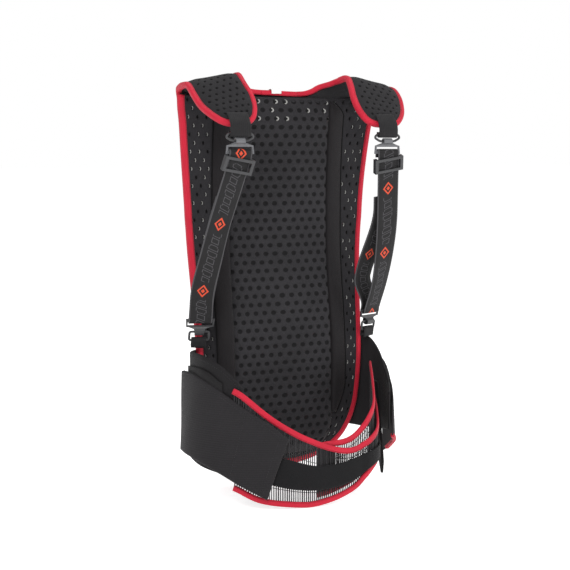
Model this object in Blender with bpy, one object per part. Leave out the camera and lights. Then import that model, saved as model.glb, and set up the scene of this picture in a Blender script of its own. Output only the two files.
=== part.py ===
"""Wearable back protector: padded spine panel, shoulder flaps, clip-on braces and a wrap-round kidney belt.

Frame: +Z up, +Y away from the wearer, -Y toward the wearer's chest, +X to the wearer's left hand side.
The origin is the middle of the flat land on the rear cover. Lengths below are millimetres.
"""
import math

import bmesh
import bpy
from mathutils import Matrix, Vector

MM = 0.001

# ---- driving dimensions (mm) -------------------------------------------------------------------
HALF_THICK = 8.5            # half the thickness of the quilted back panel
EDGE_SCALE = 0.56           # how far the panel is pinched at its bound edge
EDGE_FADE = 26.0            # distance over which the pinch fades out
BIND_W = 7.2                # width of the edge binding
BIND_T = 10.4               # thickness of the edge binding
GAP = 0.45                  # clearance kept between neighbouring pieces
PAD_HALF = 75.5             # half width of the raised centre pad
PAD_RISE = 9.0              # how far the centre pad stands off the liner
GUSSET_OUT = 94.0           # outer edge of the smooth side gussets
WEB_W = 30.0                # brace webbing width
WEB_T = 1.6                 # brace webbing thickness
FLAP_T = 9.0                # shoulder flap thickness
TAB_W = 27.0                # webbing tab width at the ring
RING_R = 1.5                # ring wire radius
SLIDE_TOP = 70.0            # height of the tri-glide centre at rest
BELT_A = 140.0              # belt plan half width
BELT_B = 86.0               # belt plan half depth
BELT_N = 2.3                # belt plan exponent
BELT_CY = -78.0             # belt plan centre, Y
LAND_X = 50.0               # half width of the flat rear land
LAND_Z = 20.0               # half height of the flat rear land

# right half of the panel outline, top to bottom (x, z)
OUTLINE = [(144, 160), (142, 140), (138.5, 117), (133, 60), (130, 20), (129, 0), (127.5, -20), (124, -80),
           (122, -130), (121, -165), (120, -200), (117, -242), (113.5, -264), (107, -283), (96, -302),
           (78, -318), (55, -329), (30, -335), (0, -336.5)]

# shoulder flap stations from the seam to the tip: y, z inner, z outer, x inner, x outer
FLAP = [(-21.8, 164.6, 164.6, 70, 143), (-22.6, 167.5, 166.7, 70.5, 143.5), (-31, 174, 167, 72, 145.5),
        (-48, 180, 168.5, 73.5, 147.5), (-70, 182, 166.5, 73, 149), (-87, 170.5, 154.5, 69.5, 148.5),
        (-101, 155.5, 140, 66, 144), (-113, 140, 130, 67, 136), (-120.5, 127, 123, 74, 127),
        (-124.5, 118.5, 118, 83, 120)]

FLAP_AXIS = (105.0, -13.5, 162.0)            # line the right-hand flap folds about

# plan lines of the belt layers (x, y)
RIGHT_WING = [(109, -17), (115, -21.5), (122, -28), (128, -36), (134, -48), (136, -62), (133, -80), (125, -98),
              (114, -118)]
LEFT_TENSION = [(-137, -31), (-147, -45), (-152, -65), (-151, -90), (-142, -116), (-124, -140), (-99, -158.5),
                (-78, -168.5), (-60, -174.5)]
CORNER = [(56, -160.6), (66, -157), (73, -150), (80, -138), (93, -111), (104, -88), (115, -66)]


# ---- small maths helpers -----------------------------------------------------------------------
def smooth(t):
    t = min(1.0, max(0.0, t))
    return t * t * (3 - 2 * t)


def ramp(table, q):
    """Piecewise-linear lookup in [(key, value), ...] sorted by key."""
    if q <= table[0][0]:
        return table[0][1]
    for (a, va), (b, vb) in zip(table, table[1:]):
        if q <= b:
            return va + (vb - va) * (q - a) / (b - a)
    return table[-1][1]


def polyline_offset(points, d):
    """Points moved by d to the right-hand side of the travel direction (2-D)."""
    out = []
    for i, p in enumerate(points):
        a = Vector(points[max(0, i - 1)])
        b = Vector(points[min(len(points) - 1, i + 1)])
        t = (b - a).normalized()
        out.append((p[0] + t.y * d, p[1] - t.x * d))
    return out


def resample(points, n):
    """n points evenly spaced along a polyline of vectors."""
    pts = [Vector(p) for p in points]
    run = [0.0]
    for a, b in zip(pts, pts[1:]):
        run.append(run[-1] + (b - a).length)
    out = []
    for k in range(n):
        s = run[-1] * k / (n - 1)
        i = max(j for j in range(len(run) - 1) if run[j] <= s + 1e-9)
        f = (s - run[i]) / max(1e-9, run[i + 1] - run[i])
        out.append(pts[i].lerp(pts[i + 1], f))
    return out


def smooth_path(points, n):
    """Catmull-Rom curve through the points, n samples."""
    pts = [Vector(p) for p in points]
    pts = [pts[0] * 2 - pts[1]] + pts + [pts[-1] * 2 - pts[-2]]
    dense = []
    for i in range(1, len(pts) - 2):
        a, b, c, d = pts[i - 1:i + 3]
        for k in range(8):
            t = k / 8
            dense.append(0.5 * ((2 * b) + (c - a) * t + (2 * a - 5 * b + 4 * c - d) * t * t
                                + (3 * b - a - 3 * c + d) * t * t * t))
    dense.append(pts[-2])
    return resample(dense, n)


# ---- mesh helpers ------------------------------------------------------------------------------
def clear_scene():
    for obj in list(bpy.data.objects):
        bpy.data.objects.remove(obj, do_unlink=True)


def material(name, colour, roughness, metallic=0.0):
    mat = bpy.data.materials.new(name)
    mat.use_nodes = True
    shader = mat.node_tree.nodes["Principled BSDF"]
    shader.inputs["Base Color"].default_value = (*colour, 1.0)
    shader.inputs["Roughness"].default_value = roughness
    shader.inputs["Metallic"].default_value = metallic
    return mat


LOOKS = {
    "black_mesh": ((0.030, 0.030, 0.034), 0.85, 0.0),
    "black_shell": ((0.022, 0.022, 0.026), 0.65, 0.0),
    "red_tape": ((0.62, 0.030, 0.055), 0.70, 0.0),
    "webbing": ((0.024, 0.024, 0.028), 0.75, 0.0),
    "grey_plastic": ((0.20, 0.21, 0.22), 0.45, 0.0),
    "black_plastic": ((0.020, 0.020, 0.022), 0.40, 0.0),
    "ladder_mesh": ((0.035, 0.035, 0.038), 0.70, 0.0),
    "loop_pile": ((0.018, 0.018, 0.020), 0.95, 0.0),
    "white_label": ((0.80, 0.80, 0.78), 0.70, 0.0),
    "foam": ((0.16, 0.17, 0.18), 0.90, 0.0),
}


def add_object(name, bm, look, origin=(0, 0, 0)):
    """Finish a bmesh (mm, world) as one named object whose origin lies at `origin` (mm)."""
    bmesh.ops.remove_doubles(bm, verts=bm.verts, dist=1e-4)
    bmesh.ops.recalc_face_normals(bm, faces=bm.faces)
    if bm.calc_volume(signed=True) < 0:
        bmesh.ops.reverse_faces(bm, faces=bm.faces)
    shift = Vector(origin)
    bmesh.ops.transform(bm, matrix=Matrix.Scale(MM, 4) @ Matrix.Translation(-shift), verts=bm.verts)
    mesh = bpy.data.meshes.new(name)
    bm.to_mesh(mesh)
    bm.free()
    mesh.materials.append(material(name + "_mat", *LOOKS[look]))
    obj = bpy.data.objects.new(name, mesh)
    obj.location = shift * MM
    bpy.context.scene.collection.objects.link(obj)
    return obj


def loft_bm(rings, closed=False):
    """Skin equal-length rings of points; open ends are capped."""
    bm = bmesh.new()
    rows = [[bm.verts.new(p) for p in ring] for ring in rings]
    n = len(rows[0])
    pairs = list(zip(rows, rows[1:]))
    if closed:
        pairs.append((rows[-1], rows[0]))
    for a, b in pairs:
        for i in range(n):
            j = (i + 1) % n
            bm.faces.new((a[i], a[j], b[j], b[i]))
    if not closed:
        bm.faces.new(rows[0])
        bm.faces.new(list(reversed(rows[-1])))
    return bm


def sheet_bm(front, back):
    """Closed solid between two equal grids of points; the ends are strips of quads, not one polygon."""
    bm = bmesh.new()
    fv = [[bm.verts.new(p) for p in row] for row in front]
    bv = [[bm.verts.new(p) for p in row] for row in back]
    rows, cols = len(front), len(front[0])
    for i in range(rows - 1):
        for j in range(cols - 1):
            bm.faces.new((fv[i][j], fv[i][j + 1], fv[i + 1][j + 1], fv[i + 1][j]))
            bm.faces.new((bv[i][j], bv[i + 1][j], bv[i + 1][j + 1], bv[i][j + 1]))
    for i in range(rows - 1):
        bm.faces.new((fv[i][0], fv[i + 1][0], bv[i + 1][0], bv[i][0]))
        bm.faces.new((fv[i][-1], bv[i][-1], bv[i + 1][-1], fv[i + 1][-1]))
    for j in range(cols - 1):
        bm.faces.new((fv[0][j], bv[0][j], bv[0][j + 1], fv[0][j + 1]))
        bm.faces.new((fv[-1][j], fv[-1][j + 1], bv[-1][j + 1], bv[-1][j]))
    return bm


def ribbon_bm(path, widths, side, thick, twist=None):
    """Band along `path`: `side` is the width direction (vector or list), `widths` number or list."""
    rings = []
    for i, p in enumerate(path):
        t = (Vector(path[min(len(path) - 1, i + 1)]) - Vector(path[max(0, i - 1)])).normalized()
        s = Vector(side[i]) if isinstance(side, list) else Vector(side)
        s = (s - t * s.dot(t)).normalized()
        nrm = t.cross(s)
        w = (widths[i] if isinstance(widths, list) else widths) / 2
        h = thick / 2
        p = Vector(p)
        rings.append([p - s * w - nrm * h, p + s * w - nrm * h, p + s * w + nrm * h, p - s * w + nrm * h])
    return loft_bm(rings)


def box_bm(lo, hi):
    bm = bmesh.new()
    v = [bm.verts.new((x, y, z)) for z in (lo[2], hi[2]) for y in (lo[1], hi[1]) for x in (lo[0], hi[0])]
    for f in ((0, 2, 3, 1), (4, 5, 7, 6), (0, 1, 5, 4), (2, 6, 7, 3), (0, 4, 6, 2), (1, 3, 7, 5)):
        bm.faces.new([v[i] for i in f])
    return bm


def temp_object(bm, matrix=None):
    if matrix is not None:
        bmesh.ops.transform(bm, matrix=matrix, verts=bm.verts)
    bmesh.ops.recalc_face_normals(bm, faces=bm.faces)
    mesh = bpy.data.meshes.new("tool")
    bm.to_mesh(mesh)
    bm.free()
    obj = bpy.data.objects.new("tool", mesh)
    obj.hide_render = True
    obj.display_type = "WIRE"
    bpy.context.scene.collection.objects.link(obj)
    return obj


def combine(base, tools, operation):
    """Boolean a list of temporary objects onto a base and hand back the result as a bmesh (mm)."""
    for tool in tools:
        mod = base.modifiers.new("op", "BOOLEAN")
        mod.operation = operation
        mod.solver = "EXACT"
        mod.object = tool
    graph = bpy.context.evaluated_depsgraph_get()
    bm = bmesh.new()
    bm.from_object(base, graph)
    for obj in [base] + tools:
        bpy.data.objects.remove(obj, do_unlink=True)
    bmesh.ops.dissolve_limit(bm, angle_limit=0.001, verts=bm.verts, edges=bm.edges)
    bmesh.ops.triangulate(bm, faces=bm.faces)
    return bm


# ---- panel surface -----------------------------------------------------------------------------
def spine(z):
    """Rear face of the panel: flat land in the middle, leaning forward above and at the lumbar."""
    if z > LAND_Z:
        return -8.0 * ((z - LAND_Z) / 110.0) ** 2
    if z < -LAND_Z:
        return -17.0 * smooth((-LAND_Z - z) / 180.0) + 6.0 * smooth((-210.0 - z) / 130.0)
    return 0.0


def sideways(x):
    return -6.0 * (max(0.0, abs(x) - LAND_X) / 85.0) ** 2


def mid_y(x, z):
    return spine(z) + sideways(x) - HALF_THICK


def edge_distance(x, z):
    best = 1e9
    x = abs(x)
    for (ax, az), (bx, bz) in zip(OUTLINE, OUTLINE[1:]):
        ab = Vector((bx - ax, bz - az))
        t = min(1.0, max(0.0, ((x - ax) * ab.x + (z - az) * ab.y) / ab.length_squared))
        best = min(best, math.hypot(x - ax - ab.x * t, z - az - ab.y * t))
    top = 168.0 - z
    return min(best, top)


def puff(x, z):
    """Thickness factor: full in the middle, pinched toward the bound edge."""
    return EDGE_SCALE + (1 - EDGE_SCALE) * smooth((edge_distance(x, z) - 6.0) / EDGE_FADE)


def layer_y(x, z, offset):
    return mid_y(x, z) + offset * puff(x, z)


def liner_front(x, z):
    return layer_y(x, z, -HALF_THICK)


INNER = [(x, -z) for x, z in [(OUTLINE[0][0] - BIND_W - GAP, 160)] + polyline_offset(OUTLINE, BIND_W + GAP)[1:-1]]
LEVELS = [160, 152, 140, 117, 90, 60, 40, LAND_Z, 0, -LAND_Z, -50, -80, -110, -140, -165, -190, -215, -242, -264,
          -283, -302, -316, -324]


def panel_half(z):
    """Half width available to the quilt layers at height z."""
    return ramp([(key, x) for x, key in INNER], -z)


def columns(z):
    """Half of the shared column positions across the panel at height z."""
    half = panel_half(z)
    cols = [0, 25, LAND_X, 63, 76.2, GUSSET_OUT, (GUSSET_OUT + half) / 2, half]
    if half < GUSSET_OUT + 8:
        cols = [half * c for c in (0, 0.25, 0.5, 0.64, 0.76, 0.86, 0.94, 1)]
    return cols


def liner_front(x, z):
    """Front face of the liner as its own facets give it."""
    table = [(c, layer_y(c, z, -HALF_THICK)) for c in columns(z)]
    return ramp(table, abs(x))


def panel_layer(name, near, far, look):
    """One quilt layer between two offsets (mm, rear positive) from the mid surface."""
    front = []
    back = []
    for z in LEVELS:
        half = columns(z)
        xs = [-x for x in reversed(half[1:])] + half
        front.append([(x, layer_y(x, z, near), z) for x in xs])
        back.append([(x, layer_y(x, z, far), z) for x in xs])
    add_object(name, sheet_bm(front, back), look)


def build_panel():
    panel_layer("rear_cover", 6.0, HALF_THICK, "black_shell")
    panel_layer("protector_insert", -5.0, 5.4, "foam")
    panel_layer("back_liner", -HALF_THICK, -5.6, "black_mesh")

    # raised centre pad
    table = [(-316, 58), (-302, 72), (-283, PAD_HALF), (140, PAD_HALF), (152, 71)]
    front = []
    back = []
    for z in LEVELS[1:-1]:
        half = ramp(table, z)
        near_end = smooth(min(156 - z, z + 322) / 18.0)
        top = []
        low = []
        for c in (-PAD_HALF, -71, -63, -LAND_X, -25, 0, 25, LAND_X, 63, 71, PAD_HALF):
            x = c * half / PAD_HALF
            rim = smooth((PAD_HALF + 2 - abs(c)) / 12.0)
            rise = PAD_RISE * (0.5 + 0.5 * min(rim, max(0.2, near_end)))
            base = liner_front(x, z) - GAP - (0.8 if z < -270 or z > 145 else 0)
            top.append((x, base - rise, z))
            low.append((x, base, z))
        front.append(top)
        back.append(low)
    add_object("centre_pad_cover", sheet_bm(front, back), "black_mesh")

    # smooth gussets down both sides of the centre pad
    for sx, side in ((-1, "left"), (1, "right")):
        front = []
        back = []
        inner = PAD_HALF + GAP + 0.4
        for z in LEVELS[1:-4]:
            taper = min(1.0, 0.35 + (152 - z) / 14.0, 0.5 + (z + 264) / 40.0)
            outer = inner + (GUSSET_OUT - 0.5 - inner) * taper
            top = []
            low = []
            for c in (0, 0.33, 0.67, 1):
                x = (inner + (outer - inner) * c) * sx
                base = liner_front(x, z) - GAP - (0.4 if z > 145 else 0)
                top.append((x, base - (7.6 - 5.8 * c ** 1.4), z))
                low.append((x, base, z))
            front.append(top)
            back.append(low)
        add_object("side_gusset_" + side, sheet_bm(front, back), "black_shell")


def build_panel_binding():
    # outer edge: down one side, round the tail and up the other
    centre = polyline_offset(OUTLINE, BIND_W / 2)
    centre[-1] = (0, -336.5 + BIND_W / 2)
    half = [(OUTLINE[0][0] - BIND_W / 2, 160)] + centre[1:]
    loop = half + [(-x, z) for x, z in reversed(half[:-1])]
    rings = []
    for i, (x, z) in enumerate(loop):
        a = Vector(loop[max(0, i - 1)])
        b = Vector(loop[min(len(loop) - 1, i + 1)])
        t = (b - a).normalized()
        if i in (0, len(loop) - 1):
            t = Vector((0, -1 if i == 0 else 1))
        out = Vector((-t.y, 0, t.x))
        c = Vector((x, mid_y(x, z), z))
        w = BIND_W / 2
        h = BIND_T / 2
        rings.append([c - out * w - Vector((0, h, 0)), c + out * (w - 2) - Vector((0, h, 0)),
                      c + out * w - Vector((0, h - 2.5, 0)), c + out * w + Vector((0, h - 2.5, 0)),
                      c + out * (w - 2) + Vector((0, h, 0)), c - out * w + Vector((0, h, 0))])
    add_object("panel_binding", loft_bm(rings), "red_tape")

    # neck edge between the two shoulder seams
    rings = []
    for k in range(13):
        x = -68.5 + 137.0 * k / 12
        z = 164.2 + 2.6 * smooth((abs(x) - 34) / 34)
        y = mid_y(x, 164)
        w = BIND_W / 2
        h = BIND_T / 2
        low = 160 + GAP - z
        rings.append([Vector((x, y - h, z + low)), Vector((x, y - h, z + w - 2)), Vector((x, y - h + 2.5, z + w)),
                      Vector((x, y + h - 2.5, z + w)), Vector((x, y + h, z + w - 2)), Vector((x, y + h, z + low))])
    add_object("neck_binding", loft_bm(rings), "red_tape")

    # folded blank label over the neck edge, just beside the middle
    path = []
    y = mid_y(-5, 164)
    h = BIND_T / 2 + 0.9
    for dy, z in ((-h, 156.5), (-h, 160), (-h, 164), (-h + 0.8, 167.4), (-h + 2.6, 168.8), (0, 168.9),
                  (h - 2.6, 168.8), (h - 0.8, 167.4), (h, 164), (h, 161)):
        path.append(Vector((-5, y + dy, z)))
    path[0].y -= 0.2
    add_object("neck_label", ribbon_bm(path, 14.0, (1, 0, 0), 0.8), "white_label")


# ---- shoulder flaps ----------------------------------------------------------------------------
def flap_lines():
    """Smooth inner and outer edge lines of the right-hand flap."""
    inner = [(xi, y, zi) for y, zi, zo, xi, xo in FLAP]
    outer = [(xo, y, zo) for y, zi, zo, xi, xo in FLAP]
    return smooth_path(inner, 33), smooth_path(outer, 33)


FLAP_LINES = flap_lines()


def flap_point(u, c, lift, sx):
    """Point on the flap: u 0..1 seam to tip, c 0..1 inner to outer edge, lift off the mid surface."""
    inner, outer = FLAP_LINES

    def at(line, q):
        q = min(max(q, 0.0), 1.0) * (len(line) - 1)
        i = min(int(q), len(line) - 2)
        return line[i].lerp(line[i + 1], q - i)

    a = at(inner, u)
    b = at(outer, u)
    p = a.lerp(b, c)
    ahead = at(inner, u + 0.02).lerp(at(outer, u + 0.02), c)
    behind = at(inner, u - 0.02).lerp(at(outer, u - 0.02), c)
    n = (ahead - behind).cross(b - a).normalized()
    p = p + n * lift
    return Vector((p.x * sx, p.y, p.z))


def build_flaps():
    length = sum((b - a).length for a, b in zip(FLAP_LINES[1], FLAP_LINES[1][1:]))
    for sx, side in ((-1, "left"), (1, "right")):
        axis = (FLAP_AXIS[0] * sx, FLAP_AXIS[1], FLAP_AXIS[2])
        front = []
        back = []
        end = 1 - (BIND_W + GAP + 2.4) / length
        for k in range(15):
            u = end * k / 14
            a = flap_point(u, 0, 0, 1)
            b = flap_point(u, 1, 0, 1)
            width = (b - a).length
            left = (end - u) * length
            corner = 0.0
            if left < 14:
                corner = 14 - math.sqrt(max(0.0, 196 - (14 - left) ** 2))
            inset = min(BIND_W + GAP + 0.3 + corner, width / 2 - 3.4) / width
            top = []
            low = []
            for c in (0, 0.08, 0.25, 0.5, 0.75, 0.92, 1):
                cc = inset + (1 - 2 * inset) * c
                t = FLAP_T * (0.62 + 0.38 * smooth(min(c, 1 - c) / 0.22)) / 2
                top.append(flap_point(u, cc, t, sx))
                low.append(flap_point(u, cc, -t, sx))
            front.append(top)
            back.append(low)
        add_object("shoulder_pad_" + side, sheet_bm(front, back), "black_mesh", axis)

        # binding round the free edge
        line = []
        mid = BIND_W / 2
        stop = 1 - (mid + 9) / length
        for k in range(13):
            u = stop * k / 12
            width = (flap_point(u, 1, 0, 1) - flap_point(u, 0, 0, 1)).length
            line.append((u, mid / width))
        for k in range(1, 5):
            ang = math.radians(90 * k / 5)
            u = 1 - (mid + 9 - 9 * math.sin(ang)) / length
            width = (flap_point(u, 1, 0, 1) - flap_point(u, 0, 0, 1)).length
            line.append((u, (mid + 9 - 9 * math.cos(ang)) / width))
        line = line + [(1 - mid / length, 0.5)] + [(u, 1 - c) for u, c in reversed(line)]
        centre = [flap_point(u, c, 0, sx) for u, c in line]
        normal = [(flap_point(u, c, 1, sx) - flap_point(u, c, -1, sx)).normalized() for u, c in line]
        rings = []
        for i, p in enumerate(centre):
            t = (centre[min(len(centre) - 1, i + 1)] - centre[max(0, i - 1)]).normalized()
            if i == 0:
                t = (centre[1] - centre[0]).normalized()
            n = (normal[i] - t * normal[i].dot(t)).normalized()
            s = t.cross(n)
            w = BIND_W / 2
            h = 3.9
            rings.append([p - s * w - n * h, p + s * w - n * h, p + s * w + n * h, p - s * w + n * h])
        add_object("shoulder_binding_" + side, loft_bm(rings), "red_tape", axis)


# ---- brace hardware ----------------------------------------------------------------------------
RING_TOP = Vector((103, -130.0, 108.0))      # bar held in the flap's webbing tab
RING_LOW = Vector((103, -130.0, 99.4))      # bar carrying the hook
HOOK_BAR = Vector((103, -130.0, 85.4))       # slot bar of the upper hook
RUN_TOP = Vector((103, -133.6, 82.0))        # top of the straight brace run
RUN_END = Vector((118, -106.0, 4.0))         # end of the straight brace run
LOW_BAR = Vector((124, -50.0, -128.0))       # slot bar of the lower hook
LOW_DOWN = Vector((0, 0.24, -0.97)).normalized()
CLIP_SPAN = 15.5                             # slot bar to clip centre on the lower hook
LOW_TURN = 20.0                              # the brace's lower end is turned outward by this angle


def arc(centre, u, v, radius, a0, a1, n):
    out = []
    for k in range(n):
        a = math.radians(a0 + (a1 - a0) * k / (n - 1))
        out.append(centre + u * (radius * math.cos(a)) + v * (radius * math.sin(a)))
    return out


def ring_bm(corners, radius, facets=8, round_r=2.5):
    """Closed wire through rounded corners."""
    n = len(corners)
    path = []
    for i, c in enumerate(corners):
        a = (Vector(corners[i - 1]) - Vector(c)).normalized()
        b = (Vector(corners[(i + 1) % n]) - Vector(c)).normalized()
        for q in (-1, -0.35, 0.35, 1):
            w = 1 - abs(q)
            p = Vector(c) + (a if q < 0 else b) * round_r * abs(q) + (a + b) * 0.18 * round_r * w
            path.append(p)
    normal = (Vector(corners[1]) - Vector(corners[0])).cross(Vector(corners[2]) - Vector(corners[1])).normalized()
    rings = []
    m = len(path)
    for i, p in enumerate(path):
        t = (path[(i + 1) % m] - path[i - 1]).normalized()
        s = t.cross(normal).normalized()
        ring = []
        for k in range(facets):
            a = 2 * math.pi * k / facets
            ring.append(p + s * (radius * math.cos(a)) + normal * (radius * math.sin(a)))
        rings.append(ring)
    return loft_bm(rings, closed=True)


def mirror(p, sx):
    return Vector((p[0] * sx, p[1], p[2]))


def hooked_plate(name, side_dir, out_dir, down_dir, bar, span, curl, look, origin):
    """Flat hook: slot bar at `bar`, slot, shoulder, neck and an open curl round a ring bar `span` away."""
    # local coordinates: a across, n outward, d from the slot bar toward the curl
    frame = Matrix((side_dir, out_dir, down_dir)).transposed().to_4x4()
    frame.translation = bar
    r = curl
    path = [(0, -2.0, 37), (0, 8.5, 35), (0.2, 9.6, 26), (1.2, 11.2, 15), (r, span - 1.8, 12.5), (r, span, 12)]
    for k in range(1, 7):
        a = math.radians(30 * k)
        path.append((r * math.cos(a), span + r * math.sin(a), 12))
    path.append((-r, span - 3.5, 12))
    pts = [Vector((0, n, d)) for n, d, w in path]
    widths = [w for n, d, w in path]
    bm = ribbon_bm(pts, widths, (1, 0, 0), 2.2)
    base = temp_object(bm)
    slot = temp_object(box_bm((-15.8, -4, 2.0), (15.8, 4, 6.8)))
    bm = combine(base, [slot], "DIFFERENCE")
    bmesh.ops.transform(bm, matrix=frame, verts=bm.verts)
    add_object(name, bm, look, origin)


def build_braces():
    for sx, side in ((-1, "left"), (1, "right")):
        across = Vector((sx, 0, 0))
        out = Vector((0, -1, 0))
        up = Vector((0, 0, 1))
        flap_axis = (FLAP_AXIS[0] * sx, FLAP_AXIS[1], FLAP_AXIS[2])

        # webbing tab stitched to the flap tip, folded round the ring
        path = [(-122, 133.4), (-126.6, 128.4), (-131.4, 122), (-133.3, 115), (-133.3, 109.5)]
        pts = [Vector((RING_TOP.x, y, z)) for y, z in path]
        pts += arc(RING_TOP, out, -up, 3.3, 0, 180, 7)
        pts += [Vector((RING_TOP.x, RING_TOP.y + 3.3, RING_TOP.z + 3.2))]
        pts = [mirror(p, sx) for p in pts]
        add_object("webbing_tab_" + side, ribbon_bm(pts, TAB_W, across, WEB_T), "webbing", flap_axis)

        # six-sided ring between tab and hook
        top, low = RING_TOP, RING_LOW
        corners = [top + Vector((-15.5, 0, 0)), top + Vector((15.5, 0, 0)), top + Vector((18.6, 0, -4.2)),
                   low + Vector((10.5, 0, 0)), low + Vector((-10.5, 0, 0)), top + Vector((-18.6, 0, -4.2))]
        corners = [mirror(p, sx) for p in corners]
        add_object("upper_ring_" + side, ring_bm(corners, RING_R), "black_plastic", mirror(top, sx))

        hooked_plate("upper_hook_" + side, across, out, up, mirror(HOOK_BAR, sx), low.z - HOOK_BAR.z, 2.9,
                     "grey_plastic", mirror(low, sx))

        # brace webbing: sewn loop on the hook, long front run, loop on the lower hook, return run
        run = (RUN_END - RUN_TOP).normalized()
        turn = math.radians(LOW_TURN)
        low_side = Vector((math.cos(turn), math.sin(turn), 0))
        low_out = LOW_DOWN.cross(low_side).normalized()
        if low_out.y > 0:
            low_out = -low_out
        rear = Vector((0, 1, 0))
        pts = [HOOK_BAR + rear * 3.6 + Vector((0, 0, -6.5)), HOOK_BAR + rear * 3.6 + Vector((0, 0, -2.5))]
        pts += arc(HOOK_BAR, rear, up, 3.6, 0, 180, 7)
        pts += [RUN_TOP + run * 4]
        for k in range(1, 5):
            pts.append(RUN_TOP.lerp(RUN_END, k / 4))
        bend = smooth_path([RUN_TOP, RUN_END, Vector((124.5, -88, -45)), Vector((128, -69, -88)),
                            LOW_BAR + low_out * 3.4 - LOW_DOWN * 4], 25)
        pts += [p for p in bend if p.z < RUN_END.z - 6]
        front_count = len(pts)
        pts += arc(LOW_BAR, low_out, LOW_DOWN, 3.4, 0, 180, 7)
        back = [p for p in bend if p.z < 30]
        back = [p - low_out * (3.4 + 3.4 * 1.0) for p in reversed(back)]
        pts += back[1:]
        sides = []
        for i, p in enumerate(pts):
            f = smooth((RUN_END.z - p.z) / 110.0)
            a = turn * f
            sides.append(Vector((math.cos(a), math.sin(a), 0)))
        pts = [mirror(p, sx) for p in pts]
        sides = [mirror(s, sx) for s in sides]
        add_object("brace_" + side, ribbon_bm(pts, WEB_W, sides, WEB_T), "webbing", mirror(HOOK_BAR, sx))

        # tri-glide adjuster: end bars in front of the webbing, centre bar behind it
        centre = RUN_TOP.lerp(RUN_END, (RUN_TOP.z - SLIDE_TOP) / (RUN_TOP.z - RUN_END.z))
        flat = Vector((1, 0, 0))
        flat = (flat - run * flat.dot(run)).normalized()
        normal = flat.cross(run)
        if normal.y > 0:
            normal = -normal
        frame = Matrix((flat, normal, -run)).transposed().to_4x4()
        frame.translation = centre
        boxes = [((-20, -3.4, -9.5), (-16, 3.4, 9.5)), ((16, -3.4, -9.5), (20, 3.4, 9.5)),
                 ((-17, 1.4, 6.0), (17, 3.4, 9.5)), ((-17, 1.4, -9.5), (17, 3.4, -6.0)),
                 ((-17, -3.4, -2.2), (17, -1.4, 2.2))]
        parts = [temp_object(box_bm(lo, hi)) for lo, hi in boxes]
        bm = combine(parts[0], parts[1:], "UNION")
        bmesh.ops.transform(bm, matrix=frame, verts=bm.verts)
        bmesh.ops.transform(bm, matrix=Matrix.Diagonal((sx, 1, 1, 1)), verts=bm.verts)
        add_object("tri_glide_" + side, bm, "black_plastic", mirror(centre, sx))

        # lower hook and the ring it clips to
        side_dir = mirror(low_side, sx)
        out_dir = mirror(low_out, sx)
        hooked_plate("lower_hook_" + side, side_dir, out_dir, LOW_DOWN, mirror(LOW_BAR, sx), CLIP_SPAN, 3.9,
                     "grey_plastic", mirror(LOW_BAR, sx))
        ring_up = LOW_BAR + LOW_DOWN * CLIP_SPAN
        ring_dn = LOW_BAR + LOW_DOWN * (CLIP_SPAN + 11.5)
        corners = [ring_up - low_side * 12.5, ring_up + low_side * 12.5, ring_dn + low_side * 12.5,
                   ring_dn - low_side * 12.5]
        corners = [mirror(p, sx) for p in corners]
        add_object("lower_ring_" + side, ring_bm(corners, RING_R), "black_plastic", mirror(ring_dn, sx))

        # anchor tab sewn at the panel edge
        pts = [ring_dn + low_out * 3.3 + LOW_DOWN * 9.5, ring_dn + low_out * 3.3 + LOW_DOWN * 3]
        pts += arc(ring_dn, low_out, -LOW_DOWN, 3.3, 0, 180, 7)
        pts += [ring_dn - low_out * 3.3 + LOW_DOWN * 3, ring_dn - low_out * 3.3 + LOW_DOWN * 9.5]
        pts = [mirror(p, sx) for p in pts]
        add_object("anchor_tab_" + side, ribbon_bm(pts, 19.0, side_dir, WEB_T), "webbing")


# ---- belt --------------------------------------------------------------------------------------
def belt_y(x):
    f = max(0.0, 1 - (abs(x) / BELT_A) ** BELT_N) ** (1 / BELT_N)
    return BELT_B * f


def left_plan():
    """Left wing line: from the panel edge round the side to the front."""
    pts = [(-x, BELT_CY + belt_y(x)) for x in (109, 115, 121, 127, 132, 136, 138.6)]
    pts += [(-140, BELT_CY)]
    pts += [(-x, BELT_CY - belt_y(x)) for x in (138.6, 136, 132, 127, 121, 112, 100)]
    return pts


def front_plan():
    """Front mesh line: left of centre, across the front and back along the right-hand flank."""
    pts = [(x, BELT_CY - belt_y(x)) for x in (-114, -106, -95, -78, -58, -36, -12, 12, 34, 46)]
    return pts + CORNER


def plan_at(line, q, offset, outward):
    """Point on a plan line at fraction q, moved outward by offset; outward is +1 or -1 for the turn side."""
    q = min(max(q, 0.0), 1.0) * (len(line) - 1)
    i = min(int(q), len(line) - 2)
    p = line[i].lerp(line[i + 1], q - i)
    t = (line[min(i + 2, len(line) - 1)] - line[max(0, i - 1)]).normalized()
    n = Vector((t.y, -t.x)) * outward
    return p + n * offset


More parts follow.
